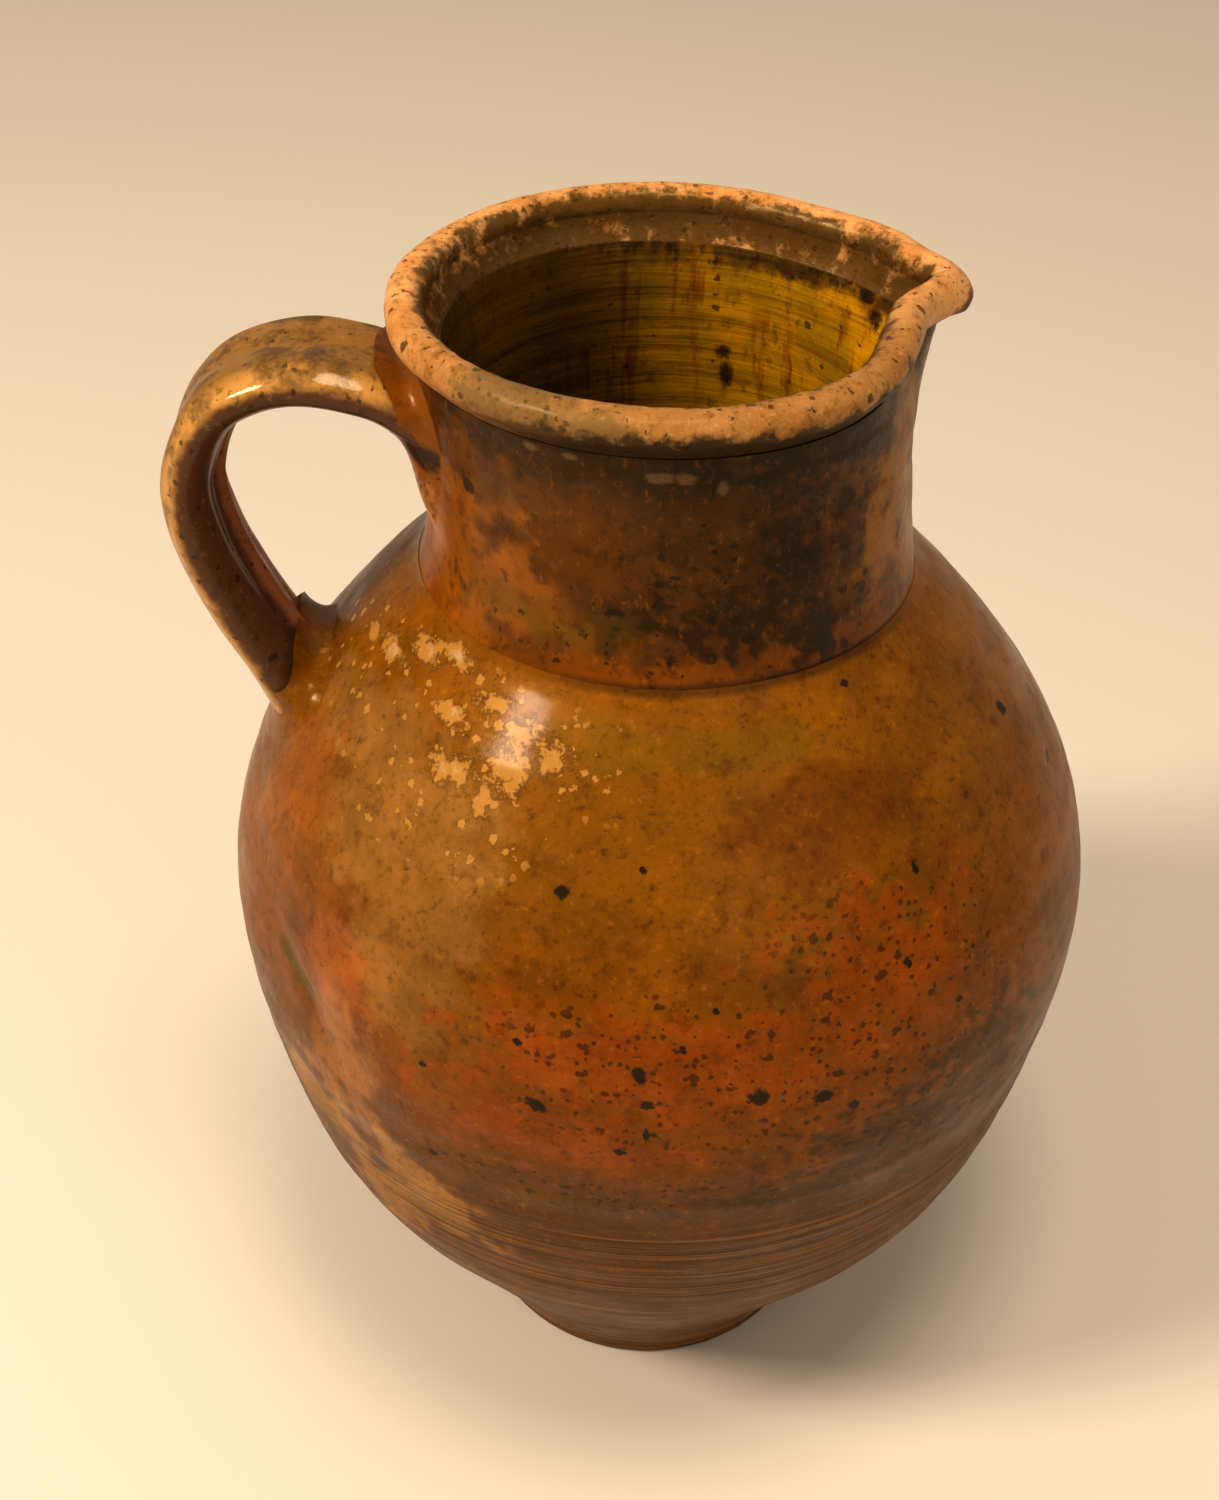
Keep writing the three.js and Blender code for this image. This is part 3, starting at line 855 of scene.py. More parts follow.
# each wash: marks, colour, strength, how ragged its edge is, and the size of the rags in mm
bellyFiringAndPaintedLight = {
    "ladder": [(0, (66, 36, 1)), (10, (84, 48, 1)), (60, (94, 55, 1)), (120, (98, 57, 1)),
               (140, (92, 54, 1)), (156, (96, 55, 1)), (176, (120, 65, 0)), (206, (124, 69, 0)),
               (226, (120, 72, 0)), (250, (128, 79, 1)), (273, (130, 79, 1))],
    "washes": [
        # painted sheen: a paler greyish-tan wash on the left shoulder beside the handle
        ([(228, 236, 34, 26), (214, 246, 30, 16), (238, 214, 20, 26)], (146, 103, 46), 0.75, 0.4, 12),
        ([(206, 222, 20, 26)], (150, 88, 20), 0.7, 0.35, 12),
        ([(244, 196, 15, 20)], (108, 74, 6), 0.4, 0.6, 9),
        ([(272, 198, 50, 15), (300, 214, 30, 22), (258, 176, 34, 12)], (142, 66, 0), 0.66, 0.85, 7),
        ([(226, 196, 14, 18)], (158, 88, 22), 0.6, 0.4, 9),
        ([(304, 165, 34, 13), (316, 176, 22, 16), (290, 153, 34, 7)], (62, 42, 1), 0.78, 1.1, 5),
        ([(250, 150, 50, 6)], (98, 62, 4), 0.6, 0.5, 9),
        ([(335, 186, 20, 30)], (118, 78, 6), 0.65, 0.4, 12),
        ([(287, 217, 7.5, 6.5, 35)], (84, 54, 6), 0.6, 0.5, 4),
        ([(340, 222, 26, 20)], (130, 76, 10), 0.5, 0.4, 12),
        # painted highlight: a pale upright band just to the front of the dent
        ([(228, 166, 16, 26)], (178, 118, 58), 0.5, 0.5, 9),
        ([(262, 262, 18, 7), (284, 262, 20, 7)], (112, 80, 4), 0.6, 0.6, 8),
        ([(300, 246, 34, 14)], (108, 57, 2), 0.7, 0.4, 12),
        # painted light: a pale tan patch low on the left of the belly, the side the key light falls on
        ([(234, 122, 28, 24), (222, 142, 20, 14)], (180, 128, 62), 0.6, 0.9, 16),
        ([(30, 200, 50, 30), (96, 188, 46, 22)], (140, 68, 0), 0.5, 0.9, 12),
        ([(70, 236, 50, 22), (140, 220, 40, 28)], (140, 96, 36), 0.55, 0.6, 14),
        ([(55, 160, 40, 12), (150, 158, 44, 12)], (72, 50, 10), 0.6, 0.8, 9),
        ([(170, 190, 30, 30)], (146, 88, 22), 0.5, 0.7, 12),
        # painted shade: a thin olive-grey line along the dent's crease
        ([(216, 182, 12, 3.2, -32)], (84, 74, 36), 0.75, 0.3, 4)],
    "spatter": [(218, 256, 34, 9), (232, 246, 18, 10)],
    "crowd": [(276, 196, 56, 26), (302, 206, 40, 34), (306, 165, 40, 16), (268, 156, 60, 8),
              (60, 190, 70, 30),
              (130, 180, 50, 24)]}


def nearness(spots, flat):  # 1 at the middle of the nearest mark, 0 at its edge, less beyond
    best = np.full(len(flat["angle"]), -9.0)
    for spot in spots:
        angle, height, wide, tall = spot[:4]
        tilt = math.radians(spot[4]) if len(spot) > 4 else 0
        sideways = np.radians((flat["angle"] - angle + 180) % 360 - 180) * flat["radius"] / mm
        upwards = flat["climb"] - along(height * mm)
        a = sideways * math.cos(tilt) + upwards * math.sin(tilt)
        b = -sideways * math.sin(tilt) + upwards * math.cos(tilt)
        best = np.maximum(best, 1 - np.hypot(a / wide, b / tall))
    return best


def paintFiringAndLight(piece, firing, ash, iron, crowdSpots):
    mesh = piece.data
    count = len(mesh.vertices)
    places = np.empty(count * 3)
    mesh.vertices.foreach_get("co", places)
    places = places.reshape(-1, 3)
    flat = {"angle": np.degrees(np.arctan2(places[:, 1], places[:, 0])) % 360,
            "radius": np.hypot(places[:, 0], places[:, 1]),
            "climb": np.interp(places[:, 2], climbHeights, climbLengths)}
    points = [Vector(place) for place in places]

    def clouded(size, shift, octaves=3):
        step = Vector((shift, shift * 2, shift * 3))
        return np.array([noise.fractal(point / (size * mm) + step, 0.8, 2.1,
                                       octaves) for point in points])
    heights = places[:, 2] / mm + 9 * clouded(34, 1)
    rungs = [rung[0] for rung in firing["ladder"]]
    shades = np.array([srgb(*rung[1])[:3] for rung in firing["ladder"]])
    tone = np.stack([np.interp(heights, rungs, shades[:, k]) for k in range(3)], axis=1)
    clouds = {}
    for k, (spots, colour, strength, rag, size) in enumerate(firing["washes"]):
        if size not in clouds:
            clouds[size] = clouded(size, 2 + size * 0.37, 4)
        near = nearness(spots, flat) + rag * 1.1 * clouds[size]
        mask = np.clip((near + 0.05) / 0.4, 0, 1)
        mask = (strength * mask * mask * (3 - 2 * mask))[:, None]
        tone = tone * (1 - mask) + np.array(srgb(*colour)[:3]) * mask
    patchy = clouded(16, 7.7, 4)[:, None]
    tone *= 1 + 0.28 * patchy
    marksLaid = np.ones((count, 4))
    spattered = np.minimum(nearness(firing["spatter"], flat) * 0.5, -0.3)
    marksLaid[:, 0] = np.clip(np.maximum(nearness(ash, flat), spattered) * 0.5 + 0.5, 0, 1)
    marksLaid[:, 1] = np.clip(nearness(iron, flat) * 0.5 + 0.5, 0, 1)
    marksLaid[:, 2] = np.clip(nearness(crowdSpots, flat) * 0.5 + 0.5, 0, 1)
    for name, values in (("glazeToneAndLight", np.concatenate([np.clip(tone, 0, 1), np.ones((count, 1))],
                                                      axis=1)),
                         ("glazeMarks", marksLaid)):
        layer = mesh.color_attributes.new(name, "FLOAT_COLOR", "POINT")
        layer.data.foreach_set("color", values.ravel())


def laid(kit, name):
    node = kit["tree"].nodes.new("ShaderNodeVertexColor")
    node.layer_name = name
    return node.outputs["Color"]


def splitMarks(kit):
    node = kit["tree"].nodes.new("ShaderNodeSeparateColor")
    kit["tree"].links.new(laid(kit, "glazeMarks"), node.inputs[0])
    return node.outputs


bellyTints = {"scorch": srgb(70, 34, 2), "gold": srgb(194, 124, 20), "umber": srgb(46, 24, 2),
              "speck": srgb(42, 22, 3), "iron": srgb(24, 19, 15), "ridge": srgb(166, 110, 30),
              "furrow": srgb(38, 21, 3), "footBand": srgb(146, 92, 24), "ash": srgb(182, 134, 62),
              "paleAsh": srgb(190, 168, 140), "seam": srgb(40, 22, 8)}


def bellySkin(name):
    kit = newFinish(name)
    t = bellyTints
    colour = laid(kit, "glazeToneAndLight")
    ashNear, ironNear, crowd = splitMarks(kit)[:3]
    # mottling from large to fine
    mottle = cloud(kit, 6 * mm, 8, 0.72)
    colour = washed(kit, colour, t["scorch"], fade(kit, mottle, 0.5, 0.7), 0.55)
    fine = cloud(kit, 2.6 * mm, 6, 0.75, (1, 1, 1), (4, 4, 4))
    colour = washed(kit, colour, t["gold"], fade(kit, fine, 0.54, 0.74), 0.36)
    colour = washed(kit, colour, t["umber"], fade(kit, fine, 0.47, 0.3), 0.6)
    # specks of iron, thickest where the flame ran
    crowded = fade(kit, crowd, 0.3, 0.7, 0.2, 1.0)
    small = flecks(kit, 2.0 * mm, 0.8 * mm, 0.6)
    middle = flecks(kit, 4.4 * mm, 1.7 * mm, 0.5, (3, 1, 2), (1, 1, 1.4))
    middle = both(kit, middle, fade(kit, crowd, 0.46, 0.62))
    specks = reckon(kit, "MAXIMUM", both(kit, small, crowded), middle)
    colour = washed(kit, colour, t["speck"], specks, 0.72)
    ragged = rags(kit, 0.6, 1.6 * mm, 4, 0.6)
    blots = fade(kit, reckon(kit, "ADD", ironNear, ragged), 0.52, 0.68)
    colour = washed(kit, colour, t["iron"], blots, 0.95)
    # turned lines on the lower belly
    lines = cloud(kit, 1 * mm, 3, 0.65, (0.012, 0.012, 1.0), (7, 2, 1))
    broad = cloud(kit, 1 * mm, 3, 0.5, (0.006, 0.006, 0.3), (1, 9, 4))
    turned = belt(kit, -20, 138, 6, 1.5, 25)
    colour = washed(kit, colour, t["ridge"], both(kit, turned, fade(kit, lines, 0.54, 0.66)), 0.62)
    colour = washed(kit, colour, t["furrow"], both(kit, turned, fade(kit, lines, 0.48, 0.32)), 0.75)
    footBand = both(kit, belt(kit, 4, 24, 4, 2, 20), fade(kit, broad, 0.4, 0.6))
    colour = washed(kit, colour, t["footBand"], footBand, 0.55)
    # ash splash from the kiln
    torn = rags(kit, 1.9, 3.6 * mm, 9, 0.78, (1, 1, 1), (6, 1, 9))
    splash = fade(kit, reckon(kit, "ADD", ashNear, torn), 0.56, 0.74)
    dots = both(kit, flecks(kit, 2.7 * mm, 1.35 * mm, 0.42, (9, 9, 1)), fade(kit, ashNear, 0.1, 0.34))
    splash = reckon(kit, "MAXIMUM", splash, dots)
    colour = washed(kit, colour, t["ash"], splash, 0.8)
    pale = both(kit, splash, fade(kit, cloud(kit, 4 * mm, 6, 0.7, (1, 1, 1), (2, 2, 9)), 0.5, 0.62),
                fade(kit, ashNear, 0.7, 0.9))
    colour = washed(kit, colour, t["paleAsh"], pale, 0.6)
    seam = both(kit, belt(kit, 271.2, 290, 0.8, 0.25, 10), side(kit, 292, 0.6, 0.9))
    colour = washed(kit, colour, t["seam"], seam, 0.6)
    gloss = patchyGloss(kit, 20 * mm, 0.3, 0.5)
    gloss = reckon(kit, "ADD", gloss, reckon(kit, "MULTIPLY", turned, 0.1))
    pits = reckon(kit, "MAXIMUM", blots, reckon(kit, "MULTIPLY", specks, 0.35))
    pits = reckon(kit, "MULTIPLY", pits, -1.0)
    relief(kit, [(cloud(kit, 8 * mm, 3, 0.5), 0.7, 0.35),
                 (cloud(kit, 1.5 * mm, 3, 0.5, (1, 1, 1), (1, 1, 1)), 0.16, 0.6),
                 (both(kit, turned, lines), 1.2, 1.0), (both(kit, turned, broad), 1.6, 0.7),
                 (splash, 0.35, 0.7), (pits, 0.7, 0.7)])
    glazeShader(kit, colour, gloss, 0.15, 0.15, 0.2)
    return kit["material"]


stackMarks = [(240, 331, 2.6, 1.5), (249, 331, 2.6, 1.3), (268, 328, 4.6, 1.9), (273, 328, 3.2, 1.9),
              (281, 325, 1.7, 2.4)]
neckSpots = [(220, 312, 2.6, 2.2), (308, 276, 2.8, 6), (306, 282, 3.4, 5)]
neckFiringAndPaintedShade = {
    # the top rungs darken the neck towards the rim: painted shade under the rim roll
    "ladder": [(262, (124, 66, 0)), (276, (112, 61, 0)), (286, (98, 54, 0)), (300, (88, 48, 0)),
               (318, (84, 48, 4)), (330, (60, 35, 4)), (345, (44, 28, 4))],
    "washes": [
        ([(214, 296, 24, 22), (230, 288, 22, 16)], (148, 86, 0), 0.85, 0.6, 12),
        ([(204, 308, 6, 26, 12), (198, 288, 8, 20)], (158, 86, 2), 0.6, 0.5, 8),
        ([(232, 318, 24, 9)], (104, 62, 14), 0.55, 0.6, 9),
        ([(242, 285, 22, 8)], (104, 74, 2), 0.6, 0.7, 6),
        ([(266, 276, 30, 5), (290, 275, 20, 4)], (130, 68, 0), 0.6, 0.8, 6),
        ([(276, 292, 34, 14), (296, 300, 30, 26)], (52, 28, 1), 0.6, 0.7, 12),
        ([(288, 290, 24, 10), (302, 286, 14, 10), (304, 304, 16, 16)], (30, 15, 2), 0.8, 1.1, 4),
        ([(340, 300, 20, 28), (350, 318, 18, 20)], (140, 90, 12), 0.85, 0.6, 9),
        # painted shadow: a near-black band just under the rim roll at the front
        ([(275, 336, 62, 4.5), (292, 332, 30, 10), (316, 329, 20, 9)], (26, 20, 4), 0.9, 0.7, 5),
        ([(60, 300, 40, 22), (120, 310, 40, 20)], (132, 76, 8), 0.6, 0.8, 12),
        ([(88, 288, 26, 10), (150, 320, 18, 9)], (44, 28, 8), 0.65, 0.8, 8)],
    "spatter": [],
    "crowd": [(284, 290, 34, 18), (300, 300, 30, 24), (60, 300, 50, 20), (268, 280, 40, 9)]}


neckTints = {"amber": srgb(146, 84, 0), "soot": srgb(30, 16, 1), "gold": srgb(162, 96, 6),
             "speck": srgb(17, 11, 4), "iron": srgb(34, 30, 26), "scar": srgb(132, 104, 62),
             "seam": srgb(30, 16, 7)}


def neckSkin(name):
    kit = newFinish(name)
    t = neckTints
    colour = laid(kit, "glazeToneAndLight")
    scarNear, ironNear, crowd = splitMarks(kit)[:3]
    wide = cloud(kit, 13 * mm, 7, 0.7, (1, 1, 0.7), (6, 3, 1))
    colour = washed(kit, colour, t["amber"], fade(kit, wide, 0.52, 0.72), 0.35)
    mottle = cloud(kit, 4.5 * mm, 8, 0.74, (1, 1, 0.8), (3, 3, 3))
    colour = washed(kit, colour, t["soot"], fade(kit, mottle, 0.5, 0.68), 0.62)
    fine = cloud(kit, 2.4 * mm, 6, 0.75, (1, 1, 0.6), (4, 8, 4))
    colour = washed(kit, colour, t["gold"], fade(kit, fine, 0.54, 0.72), 0.4)
    small = both(kit, flecks(kit, 3 * mm, 1.0 * mm, 0.5, (2, 2, 2)),
                 fade(kit, crowd, 0.2, 0.6, 0.35, 1.0))
    middle = both(kit, flecks(kit, 4.4 * mm, 1.7 * mm, 0.5, (5, 1, 2)), fade(kit, crowd, 0.44, 0.6))
    specks = reckon(kit, "MAXIMUM", small, middle)
    colour = washed(kit, colour, t["speck"], specks, 0.75)
    ragged = rags(kit, 0.6, 2 * mm, 5, 0.65)
    blots = fade(kit, reckon(kit, "ADD", ironNear, ragged), 0.46, 0.6)
    colour = washed(kit, colour, t["iron"], blots, 0.88)
    scars = fade(kit, reckon(kit, "ADD", scarNear, ragged), 0.46, 0.74)
    colour = washed(kit, colour, t["scar"], scars, 0.5)
    seam = both(kit, belt(kit, 240, 273.9, 0.9, 0.25, 10), side(kit, 292, 0.6, 0.9))
    colour = washed(kit, colour, t["seam"], seam, 0.6)
    gloss = patchyGloss(kit, 14 * mm, 0.3, 0.5)
    throwing = cloud(kit, 1 * mm, 2, 0.5, (0.01, 0.01, 0.32))
    relief(kit, [(cloud(kit, 7 * mm, 3, 0.5, (1, 1, 2)), 0.7, 0.4),
                 (cloud(kit, 1.4 * mm, 3, 0.5), 0.15, 0.6),
                 (throwing, 0.5, 0.4), (scars, 0.4, 0.8),
                 (reckon(kit, "MULTIPLY", specks, -1.0), 0.3, 0.5)])
    glazeShader(kit, colour, gloss, 0.15, 0.15, 0.2)
    return kit["material"]


luteFiring = {
    "ladder": [(262, (136, 78, 6)), (290, (150, 90, 20)), (305, (140, 78, 8)), (330, (122, 72, 12))],
    "washes": [([(200, 292, 9, 16), (203, 282, 7, 12)], (180, 124, 74), 0.7, 0.5, 5),
               ([(203, 311, 7, 4)], (30, 18, 10), 0.9, 0.35, 4),
               ([(192, 322, 12, 6)], (140, 78, 12), 0.7, 0.5, 5)],
    "spatter": [],
    "crowd": [(204, 300, 12, 10)]}
for piece in (turnedFoot, lowerBelly, upperBelly, lowerLute):
    paintFiringAndLight(piece, bellyFiringAndPaintedLight, ashSplash, ironSpots, bellyFiringAndPaintedLight["crowd"])
paintFiringAndLight(neckCollar, neckFiringAndPaintedShade, stackMarks, neckSpots, neckFiringAndPaintedShade["crowd"])
paintFiringAndLight(upperLute, luteFiring, stackMarks, neckSpots, luteFiring["crowd"])
print("firing colours laid on the walls")


# soot also serves as the painted shade under the front of the roll
rimTints = {"toast": srgb(218, 164, 104), "orange": srgb(198, 138, 76), "dark": srgb(80, 50, 20),
            "moss": srgb(96, 84, 52), "soot": srgb(30, 22, 14), "glaze": srgb(78, 54, 14),
            "frontBrown": srgb(146, 104, 50), "mottle": srgb(136, 94, 36), "pale": srgb(222, 176, 118),
            "speck": srgb(36, 22, 12), "drip": srgb(38, 22, 16)}


def rimSkin(name):
    kit = newFinish(name)
    t = rimTints
    node = kit["tree"].nodes.new("ShaderNodeSeparateColor")
    kit["tree"].links.new(laid(kit, "rimFaces"), node.inputs[0])
    inner, climb, tip = node.outputs[:3]
    colour = tinted(kit, t["toast"], t["orange"], fade(kit, cloud(kit, 14 * mm, 5, 0.6), 0.42, 0.62))
    colour = washed(kit, colour, t["frontBrown"], side(kit, 280, -0.1, 0.75), 0.72)
    mottle = cloud(kit, 4 * mm, 7, 0.72, (1, 1, 1), (3, 8, 1))
    colour = washed(kit, colour, t["mottle"], fade(kit, mottle, 0.5, 0.66), 0.8)
    fine = cloud(kit, 2.0 * mm, 8, 0.78, (1, 1, 1), (1, 2, 3))
    colour = washed(kit, colour, t["dark"], fade(kit, fine, 0.53, 0.68), 0.8)
    colour = washed(kit, colour, t["pale"], fade(kit, fine, 0.46, 0.3), 0.5)
    specks = reckon(kit, "MAXIMUM", flecks(kit, 2.2 * mm, 0.8 * mm, 0.5),
                    flecks(kit, 4.6 * mm, 1.5 * mm, 0.4, (1, 5, 2)))
    colour = washed(kit, colour, t["speck"], specks, 0.75)
    grey = marks(kit, [(238, 343, 16, 4), (256, 342, 8, 3)], rag=0.4, grain=4,
                 radiusOf=lambda height: 66 * mm)
    colour = washed(kit, colour, t["moss"], grey, 0.6)
    ragged = rags(kit, 1.5, 7 * mm, 7, 0.68, (1, 1, 1), (9, 2, 3))
    # painted shade: the lower part of the roll at the front is darkened with the soot colour
    low = fade(kit, reckon(kit, "ADD", climb, reckon(kit, "MULTIPLY", ragged, 0.9)), 0.6, 0.34)
    under = both(kit, low, side(kit, 290, 0.3, 0.8))
    colour = washed(kit, colour, t["soot"], under, 0.9)
    glazed = fade(kit, reckon(kit, "ADD", inner, ragged), 0.66, 0.94)
    colour = washed(kit, colour, t["glaze"], glazed, 0.9)
    fired = fade(kit, reckon(kit, "SUBTRACT", reckon(kit, "ADD", tip, ragged), climb), 0.05, 0.35)
    colour = washed(kit, colour, t["drip"], fired, 0.85)
    gloss = patchyGloss(kit, 9 * mm, 0.42, 0.62)
    gloss = reckon(kit, "SUBTRACT", gloss, reckon(kit, "MULTIPLY", glazed, 0.22))
    relief(kit, [(cloud(kit, 5 * mm, 4, 0.5), 0.6, 0.5), (cloud(kit, 1.1 * mm, 3, 0.6), 0.14, 0.8),
                 (reckon(kit, "MULTIPLY", specks, -1.0), 0.25, 0.6)])
    glazeShader(kit, colour, gloss, 0.1, 0.25, 0.3)
    return kit["material"]


handleTints = {"ochre": srgb(144, 104, 44), "orange": srgb(204, 154, 84), "plum": srgb(88, 56, 34),
               "inner": srgb(166, 112, 64), "smudge": srgb(52, 38, 22), "ridge": srgb(164, 112, 74),
               "umber": srgb(44, 24, 12), "gold": srgb(206, 152, 82), "speck": srgb(30, 20, 12)}


def handleSkin(name):
    kit = newFinish(name)
    t = handleTints
    uv = kit["tree"].nodes.new("ShaderNodeUVMap")
    uv.uv_map = "strapFaces"
    split = kit["tree"].nodes.new("ShaderNodeSeparateXYZ")
    kit["tree"].links.new(uv.outputs[0], split.inputs[0])
    around = reckon(kit, "MULTIPLY", split.outputs[0], 2 * math.pi)
    face = reckon(kit, "SINE", around)  # 1 on the outer face, -1 on the inner
    edge = reckon(kit, "COSINE", around)  # 1 and -1 at the two edges
    ragged = rags(kit, 0.7, 9 * mm, 5, 0.65)
    outer = fade(kit, reckon(kit, "ADD", face, ragged), 0.02, 0.48)
    # painted shade: the strap's near side and the near half of its inner face in plum, against the lighter
    # far half
    nearSideShade = fade(kit, reckon(kit, "ADD", edge, reckon(kit, "MULTIPLY", ragged, 0.6)), -0.1, 0.2)
    colour = tinted(kit, t["inner"], t["plum"], nearSideShade)
    colour = tinted(kit, colour, t["ochre"], outer)
    wandering = reckon(kit, "ADD", edge, reckon(kit, "MULTIPLY", ragged, 0.25))
    rib = fade(kit, reckon(kit, "ABSOLUTE", wandering), 0.55, 0.86)
    colour = washed(kit, colour, t["orange"], both(kit, rib, outer), 0.75)
    smudge = both(kit, fade(kit, cloud(kit, 12 * mm, 7, 0.7, (1, 1, 1), (7, 1, 4)), 0.46, 0.62), outer)
    colour = washed(kit, colour, t["smudge"], smudge, 0.65)
    ridge = both(kit, fade(kit, reckon(kit, "ABSOLUTE", reckon(kit, "ADD", edge, 0.1)), 0.2, 0.07),
                 fade(kit, face, -0.2, -0.6))
    colour = washed(kit, colour, t["ridge"], ridge, 0.7)
    mottle = cloud(kit, 4 * mm, 8, 0.72, (1, 1, 1), (3, 3, 3))
    colour = washed(kit, colour, t["umber"], fade(kit, mottle, 0.5, 0.7), 0.6)
    fine = cloud(kit, 2.4 * mm, 6, 0.75, (1, 1, 1), (4, 8, 4))
    colour = washed(kit, colour, t["gold"], fade(kit, fine, 0.56, 0.74), 0.35)
    specks = reckon(kit, "MAXIMUM", flecks(kit, 2.6 * mm, 0.8 * mm, 0.4),
                    flecks(kit, 7 * mm, 2 * mm, 0.35, (1, 5, 2)))
    colour = washed(kit, colour, t["speck"], specks, 0.7)
    gloss = patchyGloss(kit, 10 * mm, 0.45, 0.65)
    relief(kit, [(cloud(kit, 7 * mm, 3, 0.5), 0.7, 0.45), (cloud(kit, 1.4 * mm, 3, 0.5), 0.15, 0.55),
                 (reckon(kit, "MULTIPLY", specks, -1.0), 0.3, 0.5)])
    glazeShader(kit, colour, gloss, 0.4, 0.09, 0.15)
    return kit["material"]


liningTints = {"mustard": srgb(206, 148, 8), "rust": srgb(136, 66, 2), "dark": srgb(44, 28, 12),
               "plum": srgb(48, 30, 24), "olive": srgb(172, 130, 12), "ring": srgb(96, 62, 10),
               "mottle": srgb(40, 24, 4), "drip": srgb(26, 20, 14), "speck": srgb(28, 20, 12)}


def innerGlaze(name):
    kit = newFinish(name)
    t = liningTints
    colour = tinted(kit, t["mustard"], t["olive"],
                    fade(kit, cloud(kit, 18 * mm, 5, 0.6, (1, 1, 0.6)), 0.4, 0.62))
    streak = fade(kit, cloud(kit, 5 * mm, 5, 0.6, (1, 1, 0.12), (3, 3, 1)), 0.5, 0.64)
    streak = both(kit, streak, fade(kit, cloud(kit, 26 * mm, 4), 0.38, 0.58))
    colour = washed(kit, colour, t["rust"], streak, 0.85)
    rings = cloud(kit, 1 * mm, 3, 0.6, (0.02, 0.02, 0.45), (2, 2, 2))
    colour = washed(kit, colour, t["ring"], fade(kit, rings, 0.5, 0.66), 0.45)
    # darker glaze and painted shadow together: the left inside wall, where the rim's shadow falls, is
    # darkened
    colour = washed(kit, colour, t["dark"], side(kit, 190, -0.75, 0.45), 0.9)
    lip = both(kit, belt(kit, 329, 400, 4, 6, 9), side(kit, 32, -0.2, 0.95))
    colour = washed(kit, colour, t["plum"], lip, 0.85)
    edging = both(kit, belt(kit, 330, 400, 3, 8, 5),
                  fade(kit, cloud(kit, 3 * mm, 7, 0.7, (1, 1, 0.5)), 0.46, 0.6))
    colour = washed(kit, colour, t["dark"], edging, 0.85)
    # painted shade: the inside is darkened fully deep in the jug, from the shoulder down
    colour = tinted(kit, colour, t["dark"], belt(kit, -50, 246, 26, 5, 40))
    mottle = cloud(kit, 4 * mm, 8, 0.72, (1, 1, 0.6), (3, 3, 3))
    colour = washed(kit, colour, t["mottle"], fade(kit, mottle, 0.53, 0.7), 0.55)
    drips = marks(kit, [(76, 318, 2, 2), (76, 311, 2.4, 2), (76, 303, 2.6, 3), (75, 296, 2.2, 4),
                        (30, 331, 2, 2), (26, 327, 2.4, 2), (35, 325, 1.6, 1.8), (44, 320, 1.5, 1.4)],
                  rag=0.3, radiusOf=lambda height: 55 * mm)
    colour = washed(kit, colour, t["drip"], drips, 0.85)
    specks = flecks(kit, 4 * mm, 1.1 * mm, 0.35)
    colour = washed(kit, colour, t["speck"], specks, 0.75)
    gloss = patchyGloss(kit, 10 * mm, 0.14, 0.34)
    relief(kit, [(cloud(kit, 7 * mm, 3, 0.5, (1, 1, 2)), 0.6, 0.5), (rings, 0.8, 0.5),
                 (cloud(kit, 1.6 * mm, 3, 0.5), 0.15, 0.6)])
    glazeShader(kit, colour, gloss, 0.5, 0.12)
    return kit["material"]


dressing = [(turnedFoot, "foot_slab", "turned_clay", bellySkin("turnedFootClay")),
            (lowerBelly, "lower_belly", "turned_clay", bellySkin("turnedBellyClay")),
            (upperBelly, "upper_belly", "salt_glaze", bellySkin("saltGlazedShoulder")),
            (neckCollar, "neck_collar", "dark_glaze", neckSkin("sootedAndShadedNeckGlaze")),
            (rolledRim, "rolled_rim", "toasted_rim", rimSkin("toastedRimClay")),
            (strapHandle, "strap_handle", "salt_glaze", handleSkin("saltGlazedStrap")),
            (upperLute, "upper_lute", "dark_glaze", neckSkin("wipedNeckClay")),
            (lowerLute, "lower_lute", "salt_glaze", bellySkin("wipedShoulderClay")),
            (innerCoat, "glaze_lining", "ochre_glaze", innerGlaze("ochreInnerGlaze"))]
for piece, node, slot, material in dressing:
    piece.data.materials.clear()
    piece.data.materials.append(material)
    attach(piece, "root")
    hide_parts(node)
print("glazes and clays laid on")

# Studio: a pale floor, a warm key light from the left, a weak fill and a pale surround
studio = {"floorSize": 9, "floorColour": srgb(233, 225, 214), "floorRoughness": 0.7,
          "keyWay": (-0.63, -0.35, 0.70), "keyFar": 2.2, "keySize": 0.5, "keyPower": 37,
          "keyColour": (1.0, 0.83, 0.66),
          "fillWay": (0.5, -0.75, 0.45), "fillFar": 1.8, "fillSize": 1.4, "fillPower": 3,
          "fillColour": (1.0, 0.86, 0.7),
          "topWay": (0.05, -0.25, 1.0), "topFar": 1.6, "topSize": 0.5, "topPower": 12,
          "topColour": (1.0, 0.85, 0.66),
          "surround": (1.0, 0.86, 0.68), "surroundStrength": 0.46, "gamma": 0.84}
deselectAll()
bpy.ops.mesh.primitive_plane_add(size=studio["floorSize"], location=(0, 0, floorLevel))
floor = bpy.context.object
floor.name = "studioFloor"
floorPaint = newFinish("paleFloorPaint")
floorPaint["shader"].inputs["Base Color"].default_value = studio["floorColour"]
floorPaint["shader"].inputs["Roughness"].default_value = studio["floorRoughness"]
floor.data.materials.append(floorPaint["material"])

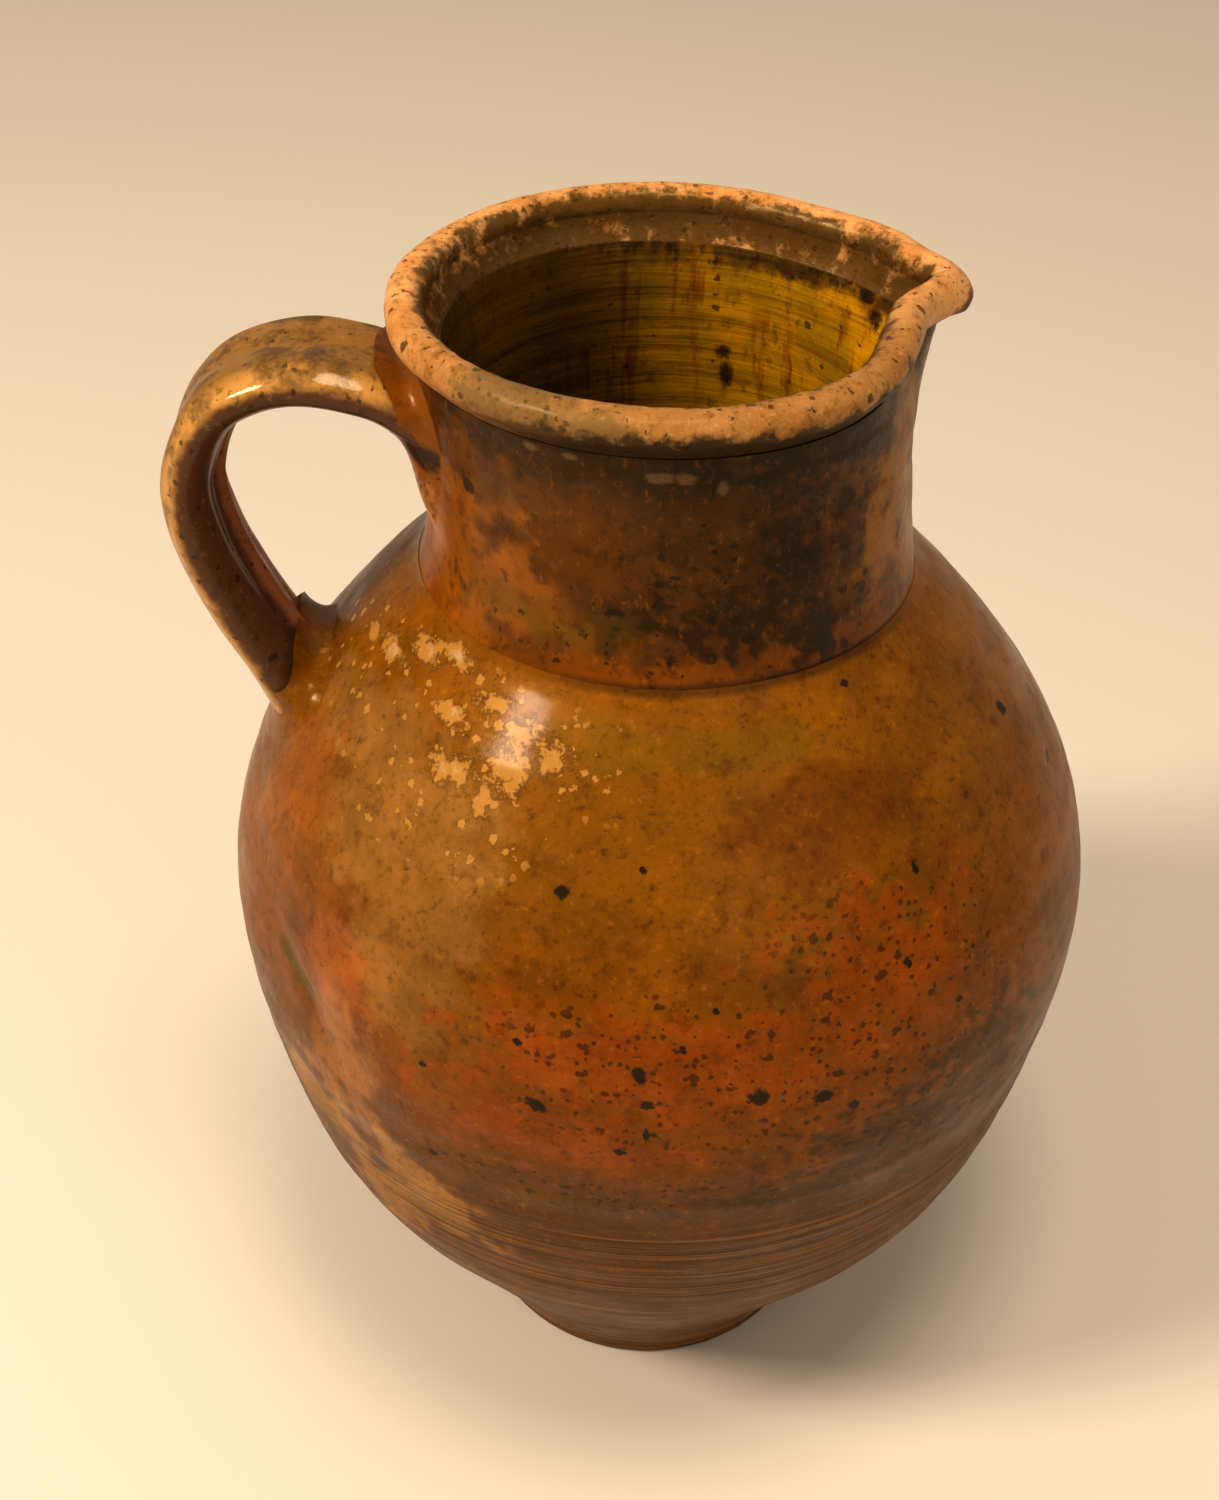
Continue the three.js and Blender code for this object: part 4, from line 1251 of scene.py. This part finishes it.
aim = Vector((0, 0, (rimTop + floorLevel) / 2))


def hangLight(name, way, far, size, power, colour):
    lamp = bpy.data.lights.new(name, "AREA")
    lamp.shape = "DISK"
    lamp.size = size
    lamp.energy = power
    lamp.color = colour
    hung = bpy.data.objects.new(name, lamp)
    bpy.context.collection.objects.link(hung)
    hung.location = aim + Vector(way).normalized() * far
    hung.rotation_euler = (aim - hung.location).to_track_quat("-Z", "Y").to_euler()


for part in ("key", "fill", "top"):
    traits = [studio[part + trait] for trait in ("Way", "Far", "Size", "Power", "Colour")]
    hangLight(part + "Light", *traits)
surround = bpy.data.worlds.new("paleSurround")
surround.use_nodes = True
surround.node_tree.nodes["Background"].inputs["Color"].default_value = (*studio["surround"], 1)
surround.node_tree.nodes["Background"].inputs["Strength"].default_value = studio["surroundStrength"]
bpy.context.scene.world = surround
bpy.context.scene.view_settings.view_transform = "Standard"
bpy.context.scene.view_settings.gamma = studio["gamma"]

# Camera: in front of the jug and above it, looking down
lens = {"place": (0, -0.4498, 0.5531), "yaw": -0.0322, "pitch": 0.6589, "roll": 0.0187, "focal": 59.79,
        "sensor": 36}
cameraData = bpy.data.cameras.new("frontCamera")
cameraData.sensor_fit = "HORIZONTAL"
cameraData.sensor_width = lens["sensor"]
cameraData.lens = lens["focal"]
cameraData.clip_start = 0.01
camera = bpy.data.objects.new("frontCamera", cameraData)
bpy.context.collection.objects.link(camera)
forward = Vector((math.sin(lens["yaw"]) * math.cos(lens["pitch"]),
                  math.cos(lens["yaw"]) * math.cos(lens["pitch"]),
                  -math.sin(lens["pitch"])))
level = Vector((math.cos(lens["yaw"]), -math.sin(lens["yaw"]), 0))
upright = level.cross(forward)
right = level * math.cos(lens["roll"]) + upright * math.sin(lens["roll"])
up = -level * math.sin(lens["roll"]) + upright * math.cos(lens["roll"])
facing = Matrix((right, up, -forward)).transposed().to_4x4()
camera.matrix_world = Matrix.Translation(lens["place"]) @ facing
bpy.context.scene.camera = camera
print("studio lit, camera set")
